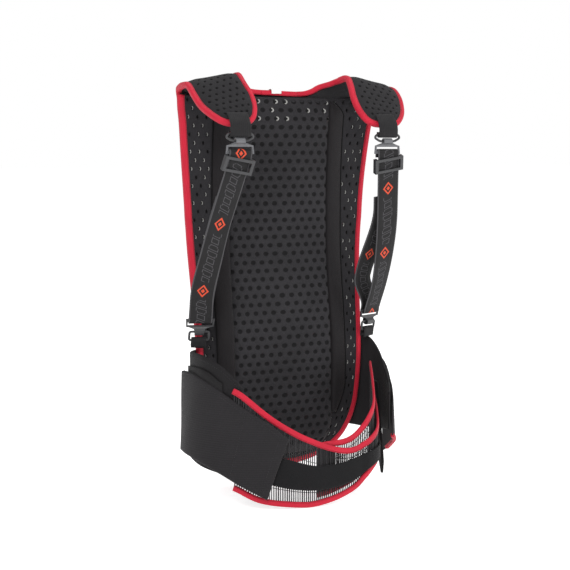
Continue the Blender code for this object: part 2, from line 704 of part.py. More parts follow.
def belt_sheet(name, plan, outward, q0, q1, top, bottom, near, far, look, origin, cols=14, rows=4, flare=0.0,
               start=None, slant=0.0, lean=(0.0, 0.0), by_x=False):
    """Curved panel on a plan line between two heights, each a table over q (or over x); lean tilts its middle."""
    line = smooth_path(plan, 49)
    front = []
    back = []
    for r in range(rows + 1):
        v = r / rows
        f_row = []
        b_row = []
        for c in range(cols + 1):
            lo = q0 + (start(v) if start else 0.0)
            hi = q1 + slant * v
            q = lo + (hi - lo) * c / cols
            key = plan_at(line, q, 0, outward).x if by_x else q
            z = ramp(top, key) + (ramp(bottom, key) - ramp(top, key)) * v
            q = min(1.0, max(0.0, q))
            extra = flare * v * v * math.sin(math.pi * q)
            extra += (lean[0] + (lean[1] - lean[0]) * v) * smooth(min(q, 1 - q) / 0.3)
            a = plan_at(line, q, far + extra, outward)
            b = plan_at(line, q, near + extra, outward)
            f_row.append((a.x, a.y, z))
            b_row.append((b.x, b.y, z))
        front.append(f_row)
        back.append(b_row)
    add_object(name, sheet_bm(front, back), look, origin)


TAPE_W = 7.0                # width of the tapes along the front mesh
INNER_START = 0.36          # where the inner front mesh begins along the front line
OUTER_EDGES = ([(-114, -199), (-96, -217), (-82, -231), (-67, -243), (-52, -253), (-37, -262), (-22, -269),
                (-7, -276), (8, -281), (23, -285), (38, -284.5), (52, -279), (66, -270), (75, -260), (81, -256.5),
                (88, -247.5), (94, -242), (101, -238.5), (115, -236.5)],
               [(-114, -328), (-96, -342), (-82, -347), (-67, -350), (-37, -354), (-22, -355), (8, -350),
                (23, -345), (38, -339.5), (52, -328), (66, -312), (73, -308), (88, -308), (115, -312)])
INNER_EDGES = ([(-25, -277), (-7, -274.5), (17, -274), (29, -273.5), (41, -267.3), (52, -259.4), (64, -243),
                (73, -230.5), (80, -224), (90, -210), (100, -200), (111, -196), (116, -193.5)],
               [(-25, -346), (4, -342), (36, -331), (52, -321), (69, -303), (93, -300), (115, -302)])
STRIP_EDGES = ([(-90, -279), (-64, -288), (-52, -292.5), (-22, -303), (8, -303.4), (38, -297.5), (52, -293.6),
                (69, -288.6), (95, -286)],
               [(-90, -317), (-52, -328.5), (-22, -333), (8, -331.7), (38, -324.8), (52, -316), (69, -306),
                (95, -300.5)])

LEFT_AXIS = (-124.0, -24.0, -230.0)
RIGHT_AXIS = (124.0, -24.0, -230.0)
LEFT_PEEL = (-138.0, -30.0, -245.0)
RIGHT_PEEL = (140.5, -50.0, -245.0)


def build_belt():
    def tuck(v):
        return 0.135 - 0.125 * v ** 3

    left = left_plan()
    top = [(0, -172), (0.2, -170), (0.35, -167.5), (0.5, -166), (0.6, -167), (0.7, -171), (0.8, -178.5),
           (0.9, -192.5), (1, -212)]
    low = [(0, -288), (0.4, -299), (0.75, -308), (1, -324)]
    belt_sheet("kidney_wing_left", left, 1, 0, 0.96, top, low, 0, 3.5, "black_mesh", LEFT_AXIS, flare=4,
               start=tuck)
    top = [(0.26, -186.5), (0.4, -183.2), (0.6, -182.2), (0.7, -186.7), (0.8, -198)]
    low = [(0, -280), (0.4, -292), (0.75, -303), (1, -318)]
    belt_sheet("middle_elastic_left", left, 1, 0.26, 0.8, top, low, 4.2, 5.8, "ladder_mesh", LEFT_AXIS, cols=10,
               rows=3, flare=4)

    right = RIGHT_WING
    top = [(0, -159.6), (0.1, -161), (0.2, -164), (0.3, -170), (0.4, -180), (0.5, -188), (1, -200)]
    low = [(0, -288.5), (0.2, -291.4), (0.5, -289.4), (0.8, -283), (1, -278)]
    belt_sheet("kidney_wing_right", right, -1, 0, 1, top, low, 0, 3.5, "black_mesh", RIGHT_AXIS, cols=12,
               start=lambda v: 0.19 - 0.175 * v ** 3)
    top = [(0.42, -189), (0.6, -190), (1, -192)]
    low = [(0.42, -322), (0.5, -314), (0.6, -306), (0.7, -299), (0.85, -292), (1, -286)]
    belt_sheet("outer_wing_right", right, -1, 0.42, 0.97, top, low, 5.2, 7.8, "black_shell", RIGHT_PEEL, cols=9,
               lean=(0.0, 4.0))

    # left tension wing, its hook patch and its free end
    top = [(0, -196), (0.2, -190), (0.3, -191), (0.4, -195), (0.5, -202), (0.6, -212.5), (0.7, -225), (0.8, -237),
           (0.9, -248), (1, -266)]
    low = [(0, -294), (0.2, -290), (0.3, -291), (0.4, -294.5), (0.5, -300.6), (0.6, -309), (0.7, -320),
           (0.8, -330), (0.9, -341.6), (1, -353)]
    belt_sheet("outer_wing_left", LEFT_TENSION, 1, 0, 1, top, low, 0, 2.5, "black_shell", LEFT_PEEL, cols=14,
               slant=-0.162, lean=(-3.5, 3.0))
    top = [(0.68, -260), (0.79, -268)]
    low = [(0.68, -304), (0.79, -318)]
    belt_sheet("hook_patch_left", LEFT_TENSION, 1, 0.68, 0.79, top, low, -2.3, -0.9, "loop_pile", LEFT_PEEL,
               cols=5, rows=2, lean=(-1.6, 1.0))
    top = [(0, -246), (1, -248)]
    low = [(0, -276), (1, -272)]
    belt_sheet("hook_patch_right", right, -1, 0.74, 0.93, top, low, 4.05, 4.85, "loop_pile", RIGHT_PEEL, cols=4,
               rows=2)

    # front mesh panels: the outer one belongs to the left half, the inner one to the right half
    front = front_plan()
    for tag, q0, edges, near, far, axis in (("outer", 0.0, OUTER_EDGES, 5.6, 6.9, LEFT_AXIS),
                                            ("inner", INNER_START, INNER_EDGES, 0.4, 1.7, RIGHT_AXIS)):
        cols = round(26 * (1 - q0))
        upper, lower = edges
        inside = ([(x, z - TAPE_W - GAP) for x, z in upper], [(x, z + TAPE_W + GAP) for x, z in lower])
        belt_sheet("belt_mesh_" + tag, front, 1, q0, 1.0, inside[0], inside[1], near, far, "ladder_mesh", axis,
                   cols=cols, rows=3, by_x=True)
        belt_sheet("mesh_tape_%s_top" % tag, front, 1, q0, 1.0, upper, [(x, z - TAPE_W) for x, z in upper],
                   near - 0.6, far + 0.6, "red_tape", axis, cols=cols, rows=1, by_x=True)
        belt_sheet("mesh_tape_%s_bottom" % tag, front, 1, q0, 1.0, [(x, z + TAPE_W) for x, z in lower], lower,
                   near - 0.6, far + 0.6, "red_tape", axis, cols=cols, rows=1, by_x=True)
    belt_sheet("landing_strip", front, 1, 0.125, 0.83, STRIP_EDGES[0], STRIP_EDGES[1], 8.5, 9.9, "loop_pile",
               LEFT_AXIS, cols=16, rows=2, by_x=True)
    belt_sheet("closure_patch", front, 1, 0.82, 0.97, [(80, -265), (115, -252)], [(80, -297), (115, -292)],
               3.4, 4.6, "loop_pile", LEFT_AXIS, cols=6, rows=2, by_x=True)


def main():
    clear_scene()
    build_panel()
    build_panel_binding()
    build_flaps()
    build_braces()
    build_belt()


main()
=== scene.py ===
"""Looks of a wearable back protector: quilted mesh panel, shoulder flaps, clip-on braces and a kidney belt.

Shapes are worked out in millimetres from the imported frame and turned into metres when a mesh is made.
"""

import functools
import math

import bmesh
import bpy
import numpy as np
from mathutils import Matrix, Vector


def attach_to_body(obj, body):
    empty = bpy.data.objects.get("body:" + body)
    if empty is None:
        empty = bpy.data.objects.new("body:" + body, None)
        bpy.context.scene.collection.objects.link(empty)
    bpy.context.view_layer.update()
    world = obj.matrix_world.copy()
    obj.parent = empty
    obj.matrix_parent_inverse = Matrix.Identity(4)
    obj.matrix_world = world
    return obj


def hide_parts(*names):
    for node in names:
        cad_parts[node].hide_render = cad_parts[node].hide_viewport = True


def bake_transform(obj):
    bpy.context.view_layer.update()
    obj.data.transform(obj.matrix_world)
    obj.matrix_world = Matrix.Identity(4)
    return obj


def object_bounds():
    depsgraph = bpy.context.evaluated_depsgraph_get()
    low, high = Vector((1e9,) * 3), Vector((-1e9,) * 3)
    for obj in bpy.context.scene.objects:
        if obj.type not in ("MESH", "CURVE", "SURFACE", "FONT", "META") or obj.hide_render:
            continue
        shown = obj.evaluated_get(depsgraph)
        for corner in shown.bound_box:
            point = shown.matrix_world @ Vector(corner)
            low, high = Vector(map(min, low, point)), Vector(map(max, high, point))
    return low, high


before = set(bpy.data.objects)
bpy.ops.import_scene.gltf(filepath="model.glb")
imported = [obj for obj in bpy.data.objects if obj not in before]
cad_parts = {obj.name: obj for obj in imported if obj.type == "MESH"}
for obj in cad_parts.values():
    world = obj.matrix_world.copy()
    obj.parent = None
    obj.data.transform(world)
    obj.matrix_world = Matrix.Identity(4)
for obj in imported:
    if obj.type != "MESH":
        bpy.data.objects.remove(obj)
CAD_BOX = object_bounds()

MM = 0.001
REAR = Vector((0, 1, 0))
UP = Vector((0, 0, 1))
SIDES = ((-1, "left"), (1, "right"))

# ---- sizes shared with the frame (mm) ----------------------------------------------------------
HALF_THICK = 8.5
EDGE_SCALE = 0.56
EDGE_FADE = 26.0
PAD_HALF = 75.5
PAD_RISE = 9.0
GUSSET_OUT = 94.0
LAND_X = 50.0
LAND_Z = 20.0
WEB_W = 30.0
WEB_THICK = 1.5
OUTLINE = [(144, 160), (142, 140), (138.5, 117), (133, 60), (130, 20), (129, 0), (127.5, -20), (124, -80),
           (122, -130), (121, -165), (120, -200), (117, -242), (113.5, -264), (107, -283), (96, -302),
           (78, -318), (55, -329), (30, -335), (0, -336.5)]
# shoulder stations: y, z inner, z outer, x inner, x outer
FLAP = [(-20.6, 147, 150, 22, 141), (-21.2, 158, 160, 34, 142.6), (-23.5, 166.5, 164.5, 50, 144),
        (-32, 174, 167, 63, 145.5), (-48, 180, 168.5, 72, 147.5), (-70, 182, 166.5, 73, 149),
        (-87, 170.5, 154.5, 69.5, 148.5), (-101, 155.5, 140, 66, 144), (-113, 140, 130, 67, 136),
        (-120.5, 127, 123, 74, 127), (-124.5, 118.5, 118, 83, 120)]
RIGHT_WING = [(109, -17), (115, -21.5), (122, -28), (128, -36), (134, -48), (136, -62), (133, -80), (125, -98),
              (114, -118)]
LEFT_TENSION = [(-137, -31), (-147, -45), (-152, -65), (-151, -90), (-142, -116), (-124, -140), (-99, -158.5),
                (-78, -168.5), (-60, -174.5)]
CORNER = [(56, -160.6), (66, -157), (73, -150), (80, -138), (93, -111), (104, -88), (115, -66)]
BELT_A = 140.0
BELT_B = 86.0
BELT_N = 2.3
BELT_CY = -78.0


# ---- maths -------------------------------------------------------------------------------------
def smooth(t):
    t = min(1.0, max(0.0, t))
    return t * t * (3 - 2 * t)


def ramp(table, q):
    if q <= table[0][0]:
        return table[0][1]
    for (a, va), (b, vb) in zip(table, table[1:]):
        if q <= b:
            return va + (vb - va) * (q - a) / (b - a)
    return table[-1][1]


def distances(points):
    """Distance along a line at each of its points."""
    run = [0.0]
    for a, b in zip(points, points[1:]):
        run.append(run[-1] + (b - a).length)
    return run


def resample(points, n):
    pts = [Vector(p) for p in points]
    run = distances(pts)
    out = []
    i = 0
    for k in range(n):
        s = run[-1] * k / (n - 1)
        while i < len(run) - 2 and run[i + 1] < s:
            i += 1
        f = (s - run[i]) / max(1e-9, run[i + 1] - run[i])
        out.append(pts[i].lerp(pts[i + 1], min(1.0, f)))
    return out


def smooth_path(points, n):
    """Catmull-Rom curve through the points, n evenly spaced samples."""
    pts = [Vector(p) for p in points]
    pts = [pts[0] * 2 - pts[1]] + pts + [pts[-1] * 2 - pts[-2]]
    dense = []
    for i in range(1, len(pts) - 2):
        a, b, c, d = pts[i - 1:i + 3]
        for k in range(10):
            t = k / 10
            dense.append(0.5 * ((2 * b) + (c - a) * t + (2 * a - 5 * b + 4 * c - d) * t * t
                                + (3 * b - a - 3 * c + d) * t * t * t))
    dense.append(pts[-2])
    return resample(dense, n)


def at(line, q):
    q = min(max(q, 0.0), 1.0) * (len(line) - 1)
    i = min(int(q), len(line) - 2)
    return line[i].lerp(line[i + 1], q - i)


def flip(p, sx):
    """Mirror a right-hand point when sx is -1."""
    return Vector((p.x * sx, p.y, p.z))


def length_of(line):
    return distances(line)[-1]


def chance(*key):
    """Repeatable number 0..1 from a key."""
    h = 0
    for k in key:
        h = (h * 31 + int(k) * 97 + 13) % 7919
    return (math.sin(h * 12.9898) * 43758.5453) % 1.0


# ---- materials ---------------------------------------------------------------------------------
class Nodes:
    """A principled material and short ways to add and link its nodes."""

    def __init__(self, name):
        self.mat = bpy.data.materials.new(name)
        self.mat.use_nodes = True
        self.tree = self.mat.node_tree
        self.shader = self.tree.nodes["Principled BSDF"]

    def add(self, kind, **settings):
        node = self.tree.nodes.new(kind)
        for key, value in settings.items():
            setattr(node, key, value)
        return node

    def feed(self, socket, value):
        """Link an output to a socket, or set its number or colour."""
        if isinstance(value, bpy.types.NodeSocket):
            self.tree.links.new(value, socket)
        else:
            socket.default_value = (*value, 1.0) if isinstance(value, tuple) else value

    def put(self, **values):
        """Set or link the shader's inputs, with _ for a space in their names."""
        for key, value in values.items():
            self.feed(self.shader.inputs[key.replace("_", " ")], value)

    def math(self, operation, *values):
        node = self.add("ShaderNodeMath", operation=operation)
        for socket, value in zip(node.inputs, values):
            self.feed(socket, value)
        return node.outputs[0]

    def plus(self, a, b):
        return self.math("ADD", a, b)

    def minus(self, a, b):
        return self.math("SUBTRACT", a, b)

    def times(self, a, b):
        return self.math("MULTIPLY", a, b)

    def over(self, a, b):
        return self.math("DIVIDE", a, b)

    def scaled(self, value, factor, offset):
        return self.math("MULTIPLY_ADD", value, factor, offset)

    def below(self, a, b):
        return self.math("LESS_THAN", a, b)

    def wave(self, value, period):
        return self.math("SINE", self.times(value, 2 * math.pi / period))

    def uv_mm(self):
        """U and V in millimetres."""
        split = self.add("ShaderNodeSeparateXYZ")
        self.feed(split.inputs[0], self.add("ShaderNodeTexCoord").outputs["UV"])
        return self.times(split.outputs[0], 1000.0), self.times(split.outputs[1], 1000.0)

    def noise(self, scale, detail):
        tex = self.add("ShaderNodeTexNoise")
        self.feed(tex.inputs["Scale"], scale)
        self.feed(tex.inputs["Detail"], detail)
        self.feed(tex.inputs["Vector"], self.add("ShaderNodeTexCoord").outputs["Object"])
        return tex.outputs["Fac"]

    def mix(self, fac, a, b):
        node = self.add("ShaderNodeMix", data_type="RGBA")
        colours = [s for s in node.inputs if s.type == "RGBA"]
        for socket, value in zip([node.inputs[0]] + colours, (fac, a, b)):
            self.feed(socket, value)
        return [s for s in node.outputs if s.type == "RGBA"][0]

    def shade(self, tone, dark, light):
        """Colour between dark and light by a tone held to 0..1."""
        clamp = self.add("ShaderNodeClamp")
        self.feed(clamp.inputs[0], tone)
        return self.mix(clamp.outputs[0], dark, light)

    def bump(self, height, strength, distance):
        node = self.add("ShaderNodeBump")
        self.feed(node.inputs["Strength"], strength)
        self.feed(node.inputs["Distance"], distance)
        self.feed(node.inputs["Height"], height)
        self.put(Normal=node.outputs[0])


def fabric(name, dark, light, rough, weave, pitch, bump, sheen):
    """Woven or knitted cloth; `weave` picks plain, twill, rib, knit or pile."""
    n = Nodes(name)
    u, v = n.uv_mm()
    if weave == "plain":
        height = n.times(n.wave(u, pitch), n.wave(v, pitch))
    elif weave == "twill":
        height = n.wave(n.plus(u, v), pitch)
    elif weave == "rib":
        height = n.plus(n.wave(u, pitch), n.times(n.wave(v, pitch * 2.3), 0.35))
    elif weave == "knit":
        shifted = n.plus(u, n.times(n.wave(v, pitch * 2), pitch * 0.25))
        height = n.times(n.wave(shifted, pitch), n.math("ABSOLUTE", n.wave(v, pitch * 2)))
    else:
        height = n.scaled(n.noise(1900.0, 2.0), 2.0, -1.0)
    fuzz = n.noise(900.0, 2.0)
    cloud = n.noise(18.0, 3.0)
    # the weave height also tints the colour: painted shade in the hollows between threads or pile fibres, lighter
    # crowns
    tone = n.plus(n.scaled(height, 0.26, 0.28), n.scaled(fuzz, 0.55, -0.22))
    tone = n.plus(tone, n.scaled(cloud, 0.5, -0.2))
    n.put(Base_Color=n.shade(tone, dark, light), Roughness=n.scaled(cloud, 0.22, rough - 0.11),
          Sheen_Weight=sheen * 0.4, Sheen_Roughness=0.45, Specular_IOR_Level=0.14)
    n.bump(n.plus(height, n.times(fuzz, 0.6)), bump, 0.00025)
    return n.mat


def tape_red(name):
    """Grosgrain binding: fine cross ribs, and a line of painted shade on both faces where the seam presses in."""
    n = Nodes(name)
    u, v = n.uv_mm()
    rib = n.wave(u, 0.9)
    cloud = n.noise(40.0, 2.0)
    # the rib height also tints the colour: painted shade between the ribs
    tone = n.plus(n.scaled(rib, 0.12, 0.5), n.scaled(cloud, 0.6, -0.3))
    # painted shade: darker bands in the creases where the seams press in
    front_seam_shade = n.below(n.math("ABSOLUTE", n.plus(v, 3.9)), 0.55)
    rear_seam_shade = n.below(n.math("ABSOLUTE", n.minus(v, 9.4)), 0.55)
    tone = n.minus(tone, n.times(n.math("MAXIMUM", front_seam_shade, rear_seam_shade), 0.45))
    n.put(Base_Color=n.shade(tone, (0.29, 0.004, 0.016), (0.58, 0.014, 0.040)), Roughness=n.scaled(cloud, 0.2, 0.5),
          Sheen_Weight=0.05, Specular_IOR_Level=0.2)
    n.bump(rib, 0.3, 0.0002)
    return n.mat


def webbing_print(name):
    """Elastic webbing: ribbed weave, paler selvedges and a plain printed chain of blocks and diamonds."""
    n = Nodes(name)
    u, v = n.uv_mm()
    height = n.plus(n.times(n.wave(u, 1.1), 0.7), n.times(n.wave(v, 1.3), 0.4))
    # the weave height also tints the colour: painted shade between the threads
    tone = n.plus(n.scaled(height, 0.22, 0.32), n.scaled(n.noise(60.0, 3.0), 0.4, -0.2))
    base = n.shade(tone, (0.006, 0.0057, 0.006), (0.021, 0.020, 0.0215))
    across = n.math("ABSOLUTE", v)
    selvedge = n.math("GREATER_THAN", across, WEB_W / 2 - 1.5)
    base = n.mix(n.times(selvedge, 0.6), base, (0.085, 0.083, 0.089))
    # outlined slanted blocks every 9 mm, long and short in turn
    slant = n.plus(u, n.times(v, 0.32))
    cell = n.math("PINGPONG", slant, 4.5)
    high = n.scaled(n.math("GREATER_THAN", n.math("PINGPONG", slant, 13.5), 8.0), 1.6, 5.2)
    outer = n.math("MAXIMUM", n.over(cell, 3.5), n.over(across, high))
    inner = n.math("MAXIMUM", n.over(cell, 2.7), n.over(across, n.minus(high, 0.9)))
    block = n.minus(n.below(outer, 1.0), n.below(inner, 1.0))
    # an open diamond every 93 mm takes the place of three blocks
    span = n.math("PINGPONG", n.plus(u, 74.0), 46.5)
    block = n.times(block, n.minus(1.0, n.below(span, 13.0)))
    reach = n.plus(n.over(span, 9.0), n.over(across, 7.5))
    ring = n.minus(n.below(reach, 1.0), n.below(reach, 0.68))
    base = n.mix(n.times(block, 0.7), base, (0.080, 0.077, 0.084))
    base = n.mix(n.math("MAXIMUM", ring, n.below(reach, 0.34)), base, (0.52, 0.060, 0.025))
    n.put(Base_Color=base, Roughness=0.62, Specular_IOR_Level=0.2)
    n.bump(height, 0.4, 0.00025)
    return n.mat


def plastic(name, dark, light):
    """Moulded nylon: faint flow marks and handling scuffs."""
    n = Nodes(name)
    cloud = n.noise(140.0, 4.0)
    n.put(Base_Color=n.mix(cloud, dark, light), Roughness=n.scaled(cloud, 0.2, 0.32), Specular_IOR_Level=0.5)
    n.bump(n.noise(2600.0, 2.0), 0.12, 0.0001)
    return n.mat


def painted_through_hole_light(name, colour):
    """Painted light: a pale glint standing in for the white background seen through the perforations."""
    n = Nodes(name)
    n.put(Base_Color=n.mix(n.noise(300.0, 2.0), tuple(c * 0.85 for c in colour), colour), Roughness=0.8)
    return n.mat


MAT = {
    "mesh": fabric("spacer_mesh", (0.009, 0.0086, 0.0095), (0.043, 0.041, 0.0455), 0.8, "knit", 1.5, 0.5, 0.16),
    "liner": fabric("flange_mesh", (0.008, 0.0075, 0.0085), (0.030, 0.0285, 0.032), 0.8, "knit", 1.5, 0.5, 0.14),
    # the dimple and recess fabrics are darker copies of the surface fabrics: painted shade in the hollows
    "dimple": fabric("mesh_dimple", (0.004, 0.0038, 0.0042), (0.0135, 0.013, 0.014), 0.85, "knit", 1.3, 0.4, 0.1),
    "hole": fabric("mesh_recess", (0.002, 0.002, 0.002), (0.008, 0.0075, 0.008), 0.9, "knit", 1.5, 0.3, 0.03),
    # painted light: a pale glint on one side of a hole, standing in for the background seen through it
    "gleam": painted_through_hole_light("hole_light", (0.30, 0.30, 0.285)),
    "flap": fabric("flap_mesh", (0.008, 0.0076, 0.0084), (0.027, 0.0255, 0.028), 0.82, "knit", 1.5, 0.4, 0.12),
    "gusset": fabric("gusset_cloth", (0.007, 0.0062, 0.0068), (0.019, 0.0168, 0.0185), 0.72, "plain", 0.7, 0.3, 0.12),
    "shell": fabric("shell_cloth", (0.009, 0.0086, 0.0095), (0.028, 0.027, 0.029), 0.74, "twill", 0.9, 0.35, 0.15),
    "elastic": fabric("elastic_cloth", (0.009, 0.0082, 0.0090), (0.027, 0.0250, 0.0275), 0.72, "rib", 1.2, 0.4, 0.12),
    "middle": fabric("middle_cloth", (0.006, 0.0056, 0.0060), (0.020, 0.0188, 0.020), 0.75, "rib", 1.0, 0.4, 0.1),
    "wing": fabric("wing_cloth", (0.006, 0.0056, 0.0062), (0.019, 0.0176, 0.019), 0.76, "plain", 0.8, 0.3, 0.1),
    "ladder": fabric("ladder_thread", (0.009, 0.0086, 0.0092), (0.036, 0.0345, 0.037), 0.62, "rib", 0.8, 0.3, 0.12),
    "pile": fabric("loop_pile", (0.004, 0.004, 0.0045), (0.015, 0.0146, 0.0156), 0.95, "pile", 1.0, 0.9, 0.2),
    "red": tape_red("binding_tape"),
    "web": webbing_print("brace_webbing"),
    "tab_web": fabric("tab_webbing", (0.007, 0.0066, 0.0071), (0.027, 0.026, 0.028), 0.68, "rib", 1.1, 0.45, 0.1),
    "grey_plastic": plastic("hook_nylon", (0.078, 0.079, 0.086), (0.118, 0.120, 0.128)),
    "black_plastic": plastic("buckle_nylon", (0.014, 0.014, 0.0155), (0.034, 0.034, 0.037)),
    "label": fabric("label_satin", (0.70, 0.70, 0.69), (0.86, 0.86, 0.85), 0.55, "rib", 0.6, 0.2, 0.2),
    "thread": fabric("sewing_thread", (0.016, 0.0158, 0.0168), (0.05, 0.049, 0.052), 0.55, "twill", 0.5, 0.3, 0.05),
    "red_thread": fabric("red_thread", (0.26, 0.008, 0.020), (0.42, 0.018, 0.038), 0.55, "twill", 0.5, 0.3, 0.05),
}


# ---- mesh building -----------------------------------------------------------------------------
def make_object(name, verts, faces, mats, uvs, face_mats=None, smooth_shade=True):
    """Object from millimetre points; `uvs` gives one UV (mm) per vertex."""
    mesh = bpy.data.meshes.new(name)
    mesh.from_pydata([tuple(c * MM for c in v) for v in verts], [], [tuple(f) for f in faces])
    for key in mats:
        mesh.materials.append(MAT[key])
    if face_mats is not None:
        mesh.polygons.foreach_set("material_index", np.array(face_mats, dtype=np.int32))
    layer = mesh.uv_layers.new(name="UV")
    index = np.zeros(len(mesh.loops), dtype=np.int32)
    mesh.loops.foreach_get("vertex_index", index)
    flat = np.array(uvs, dtype=np.float32)[index] * MM
    layer.data.foreach_set("uv", flat.ravel())
    bm = bmesh.new()
    bm.from_mesh(mesh)
    bmesh.ops.recalc_face_normals(bm, faces=bm.faces)
    bm.to_mesh(mesh)
    bm.free()
    if smooth_shade:
        mesh.shade_smooth()
    obj = bpy.data.objects.new(name, mesh)
    bpy.context.scene.collection.objects.link(obj)
    return obj


def subdivide(obj):
    """One level of subdivision, applied."""
    mod = obj.modifiers.new("subdivision", "SUBSURF")
    mod.levels = 1
    mod.render_levels = 1
    mod.boundary_smooth = "PRESERVE_CORNERS"
    graph = bpy.context.evaluated_depsgraph_get()
    mesh = bpy.data.meshes.new_from_object(obj.evaluated_get(graph))
    obj.modifiers.clear()
    obj.data = mesh


def attach(obj, body, slot, *nodes):
    """Put a piece on a body (None: left unparented, its transform baked elsewhere) and hide the CAD nodes it stands
    for; slot is not used.
    """
    if body:
        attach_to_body(obj, body)
    if nodes:
        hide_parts(*nodes)
    return obj


def sheet(rows, cols, point):
    """Front points, back points and UVs of a grid; point(r, c) gives the three."""
    cells = [[point(r, c) for c in cols] for r in rows]
    return [[[cell[k] for cell in row] for row in cells] for k in range(3)]


def grid_shell(name, grid, mat):
    """Closed sheet between the two grids of millimetre points from sheet(), with a rounded rim."""
    front, back, uv = grid
    rows, cols = len(front), len(front[0])
    verts = [p for row in front for p in row] + [p for row in back for p in row]
    flat_uv = [q for row in uv for q in row]
    uvs = flat_uv + flat_uv
    base = rows * cols

    def f(i, j):
        return i * cols + j

    faces = []
    for i in range(rows - 1):
        for j in range(cols - 1):
            faces.append((f(i, j), f(i, j + 1), f(i + 1, j + 1), f(i + 1, j)))
            faces.append((base + f(i, j), base + f(i + 1, j), base + f(i + 1, j + 1), base + f(i, j + 1)))
    loop = [(i, 0) for i in range(rows)] + [(rows - 1, j) for j in range(1, cols)]
    loop += [(i, cols - 1) for i in range(rows - 2, -1, -1)] + [(0, j) for j in range(cols - 2, 0, -1)]
    rim = []
    for i, j in loop:
        a, b = front[i][j], back[i][j]
        ii = min(max(i, 1), rows - 2)
        jj = min(max(j, 1), cols - 2)
        out = (a + b) / 2 - (front[ii][jj] + back[ii][jj]) / 2
        out = out.normalized() * (a - b).length * 0.5 if out.length > 1e-6 else Vector((0, 0, 0))
        rim.append(len(verts))
        verts.append((a + b) / 2 + out)
        uvs.append(flat_uv[f(i, j)])
    n = len(loop)
    for k in range(n):
        (i0, j0), (i1, j1) = loop[k], loop[(k + 1) % n]
        r0, r1 = rim[k], rim[(k + 1) % n]
        faces.append((f(i0, j0), r0, r1, f(i1, j1)))
        faces.append((r0, base + f(i0, j0), base + f(i1, j1), r1))
    return make_object(name, verts, faces, [mat], uvs)


def lattice_shell(name, front, back, cols, rows, hole, mats, pitch):
    """Perforated and subdivided sheet: staggered cells, each with an optional recess.

    front(s, t) and back(s, t) map lattice coordinates (s 0..cols, t 0..rows) to points. hole(s, t) gives None or
    (half width, half height, depth, lit side): the lit side, -1, 0 or 1, shows a crescent of painted light, the
    background seen through the hole.
    pitch(t) gives the cell size in mm at row t.
    """
    verts = []
    uvs = []
    index = {}

    def vert(key, s, t, side, sink=0.0):
        full = (key, side)
        if full in index:
            return index[full]
        p = front(s, t) if side == 0 else back(s, t)
        if sink:
            p = p + (back(s, t) - p).normalized() * sink
        index[full] = len(verts)
        verts.append(p)
        size = pitch(t)
        uvs.append(((s - cols / 2) * size[0], -t * size[1]))
        return index[full]

    faces = []
    kinds = []
    for r in range(rows):
        starts = [float(c) for c in range(cols)]
        widths = [1.0] * cols
        if r % 2:
            starts = [0.0] + [c + 0.5 for c in range(cols - 1)] + [cols - 0.5]
            widths = [0.5] + [1.0] * (cols - 1) + [0.5]
        for s0, w in zip(starts, widths):
            s1 = s0 + w
            mid = (s0 + s1) / 2
            points = [(s1, r + 0.5), (s1, r + 1.0), (mid, r + 1.0), (s0, r + 1.0), (s0, r + 0.5), (s0, r), (mid, r),
                      (s1, r)]
            if w < 1:
                points = [p for p in points if p[0] != mid]
            spec = hole(mid, r + 0.5) if w == 1 else None
            ring = [vert(("g", round(a * 4), round(b * 4)), a, b, 0) for a, b in points]
            under = [vert(("g", round(a * 4), round(b * 4)), a, b, 1) for a, b in points]
            faces.append(under[::-1])
            kinds.append(0)
            if not spec:
                faces.append(ring)
                kinds.append(0)
                continue
            hx, hz, depth, lit = spec
            size = pitch(r + 0.5)
            previous = ring
            for step, (grow, sink) in enumerate(((1.22, 0.1 * depth), (0.96, 0.45 * depth), (0.62, depth))):
                current = []
                for k in range(8):
                    a = math.radians(45 * k)
                    s = mid + hx / size[0] * grow * math.cos(a)
                    t = r + 0.5 + hz / size[1] * grow * math.sin(a)
                    current.append(vert(("h", r, round(mid * 4), step, k), s, t, 0, sink))
                for k in range(8):
                    faces.append((previous[k], previous[(k + 1) % 8], current[(k + 1) % 8], current[k]))
                    # painted light: on the lit side the deepest wall takes the glint material, the background seen
                    # through the hole
                    bright = lit and step == 2 and math.cos(math.radians(45 * k + 22.5)) * lit > 0.3
                    # the deepest wall and the floor take the darker recess material: painted shade inside the hole
                    kinds.append(2 if bright else (0 if step < 2 else 1))
                previous = current
            faces.append(previous)
            kinds.append(1)
    # rim
    edge = [(0.0, t / 2) for t in range(0, 2 * rows + 1)]
    edge += [(s / 2, float(rows)) for s in range(1, 2 * cols + 1)]
    edge += [(float(cols), t / 2) for t in range(2 * rows - 1, -1, -1)]
    edge += [(s / 2, 0.0) for s in range(2 * cols - 1, 0, -1)]
    edge = [(s, t) for s, t in edge if (("g", round(s * 4), round(t * 4)), 0) in index]
    for (s0, t0), (s1, t1) in zip(edge, edge[1:] + edge[:1]):
        k0 = ("g", round(s0 * 4), round(t0 * 4))
        k1 = ("g", round(s1 * 4), round(t1 * 4))
        faces.append((index[(k0, 0)], index[(k1, 0)], index[(k1, 1)], index[(k0, 1)]))
        kinds.append(0)
    obj = make_object(name, verts, faces, mats, uvs, kinds)
    subdivide(obj)
    return obj


def tube(count, n, base=0):
    """Faces of a closed tube of `count` rings with n points each."""
    faces = []
    for i in range(base, base + (count - 1) * n, n):
        faces += [(i + k, i + (k + 1) % n, i + n + (k + 1) % n, i + n + k) for k in range(n)]
    last = base + (count - 1) * n
    return faces + [tuple(range(base, base + n)), tuple(reversed(range(last, last + n)))]


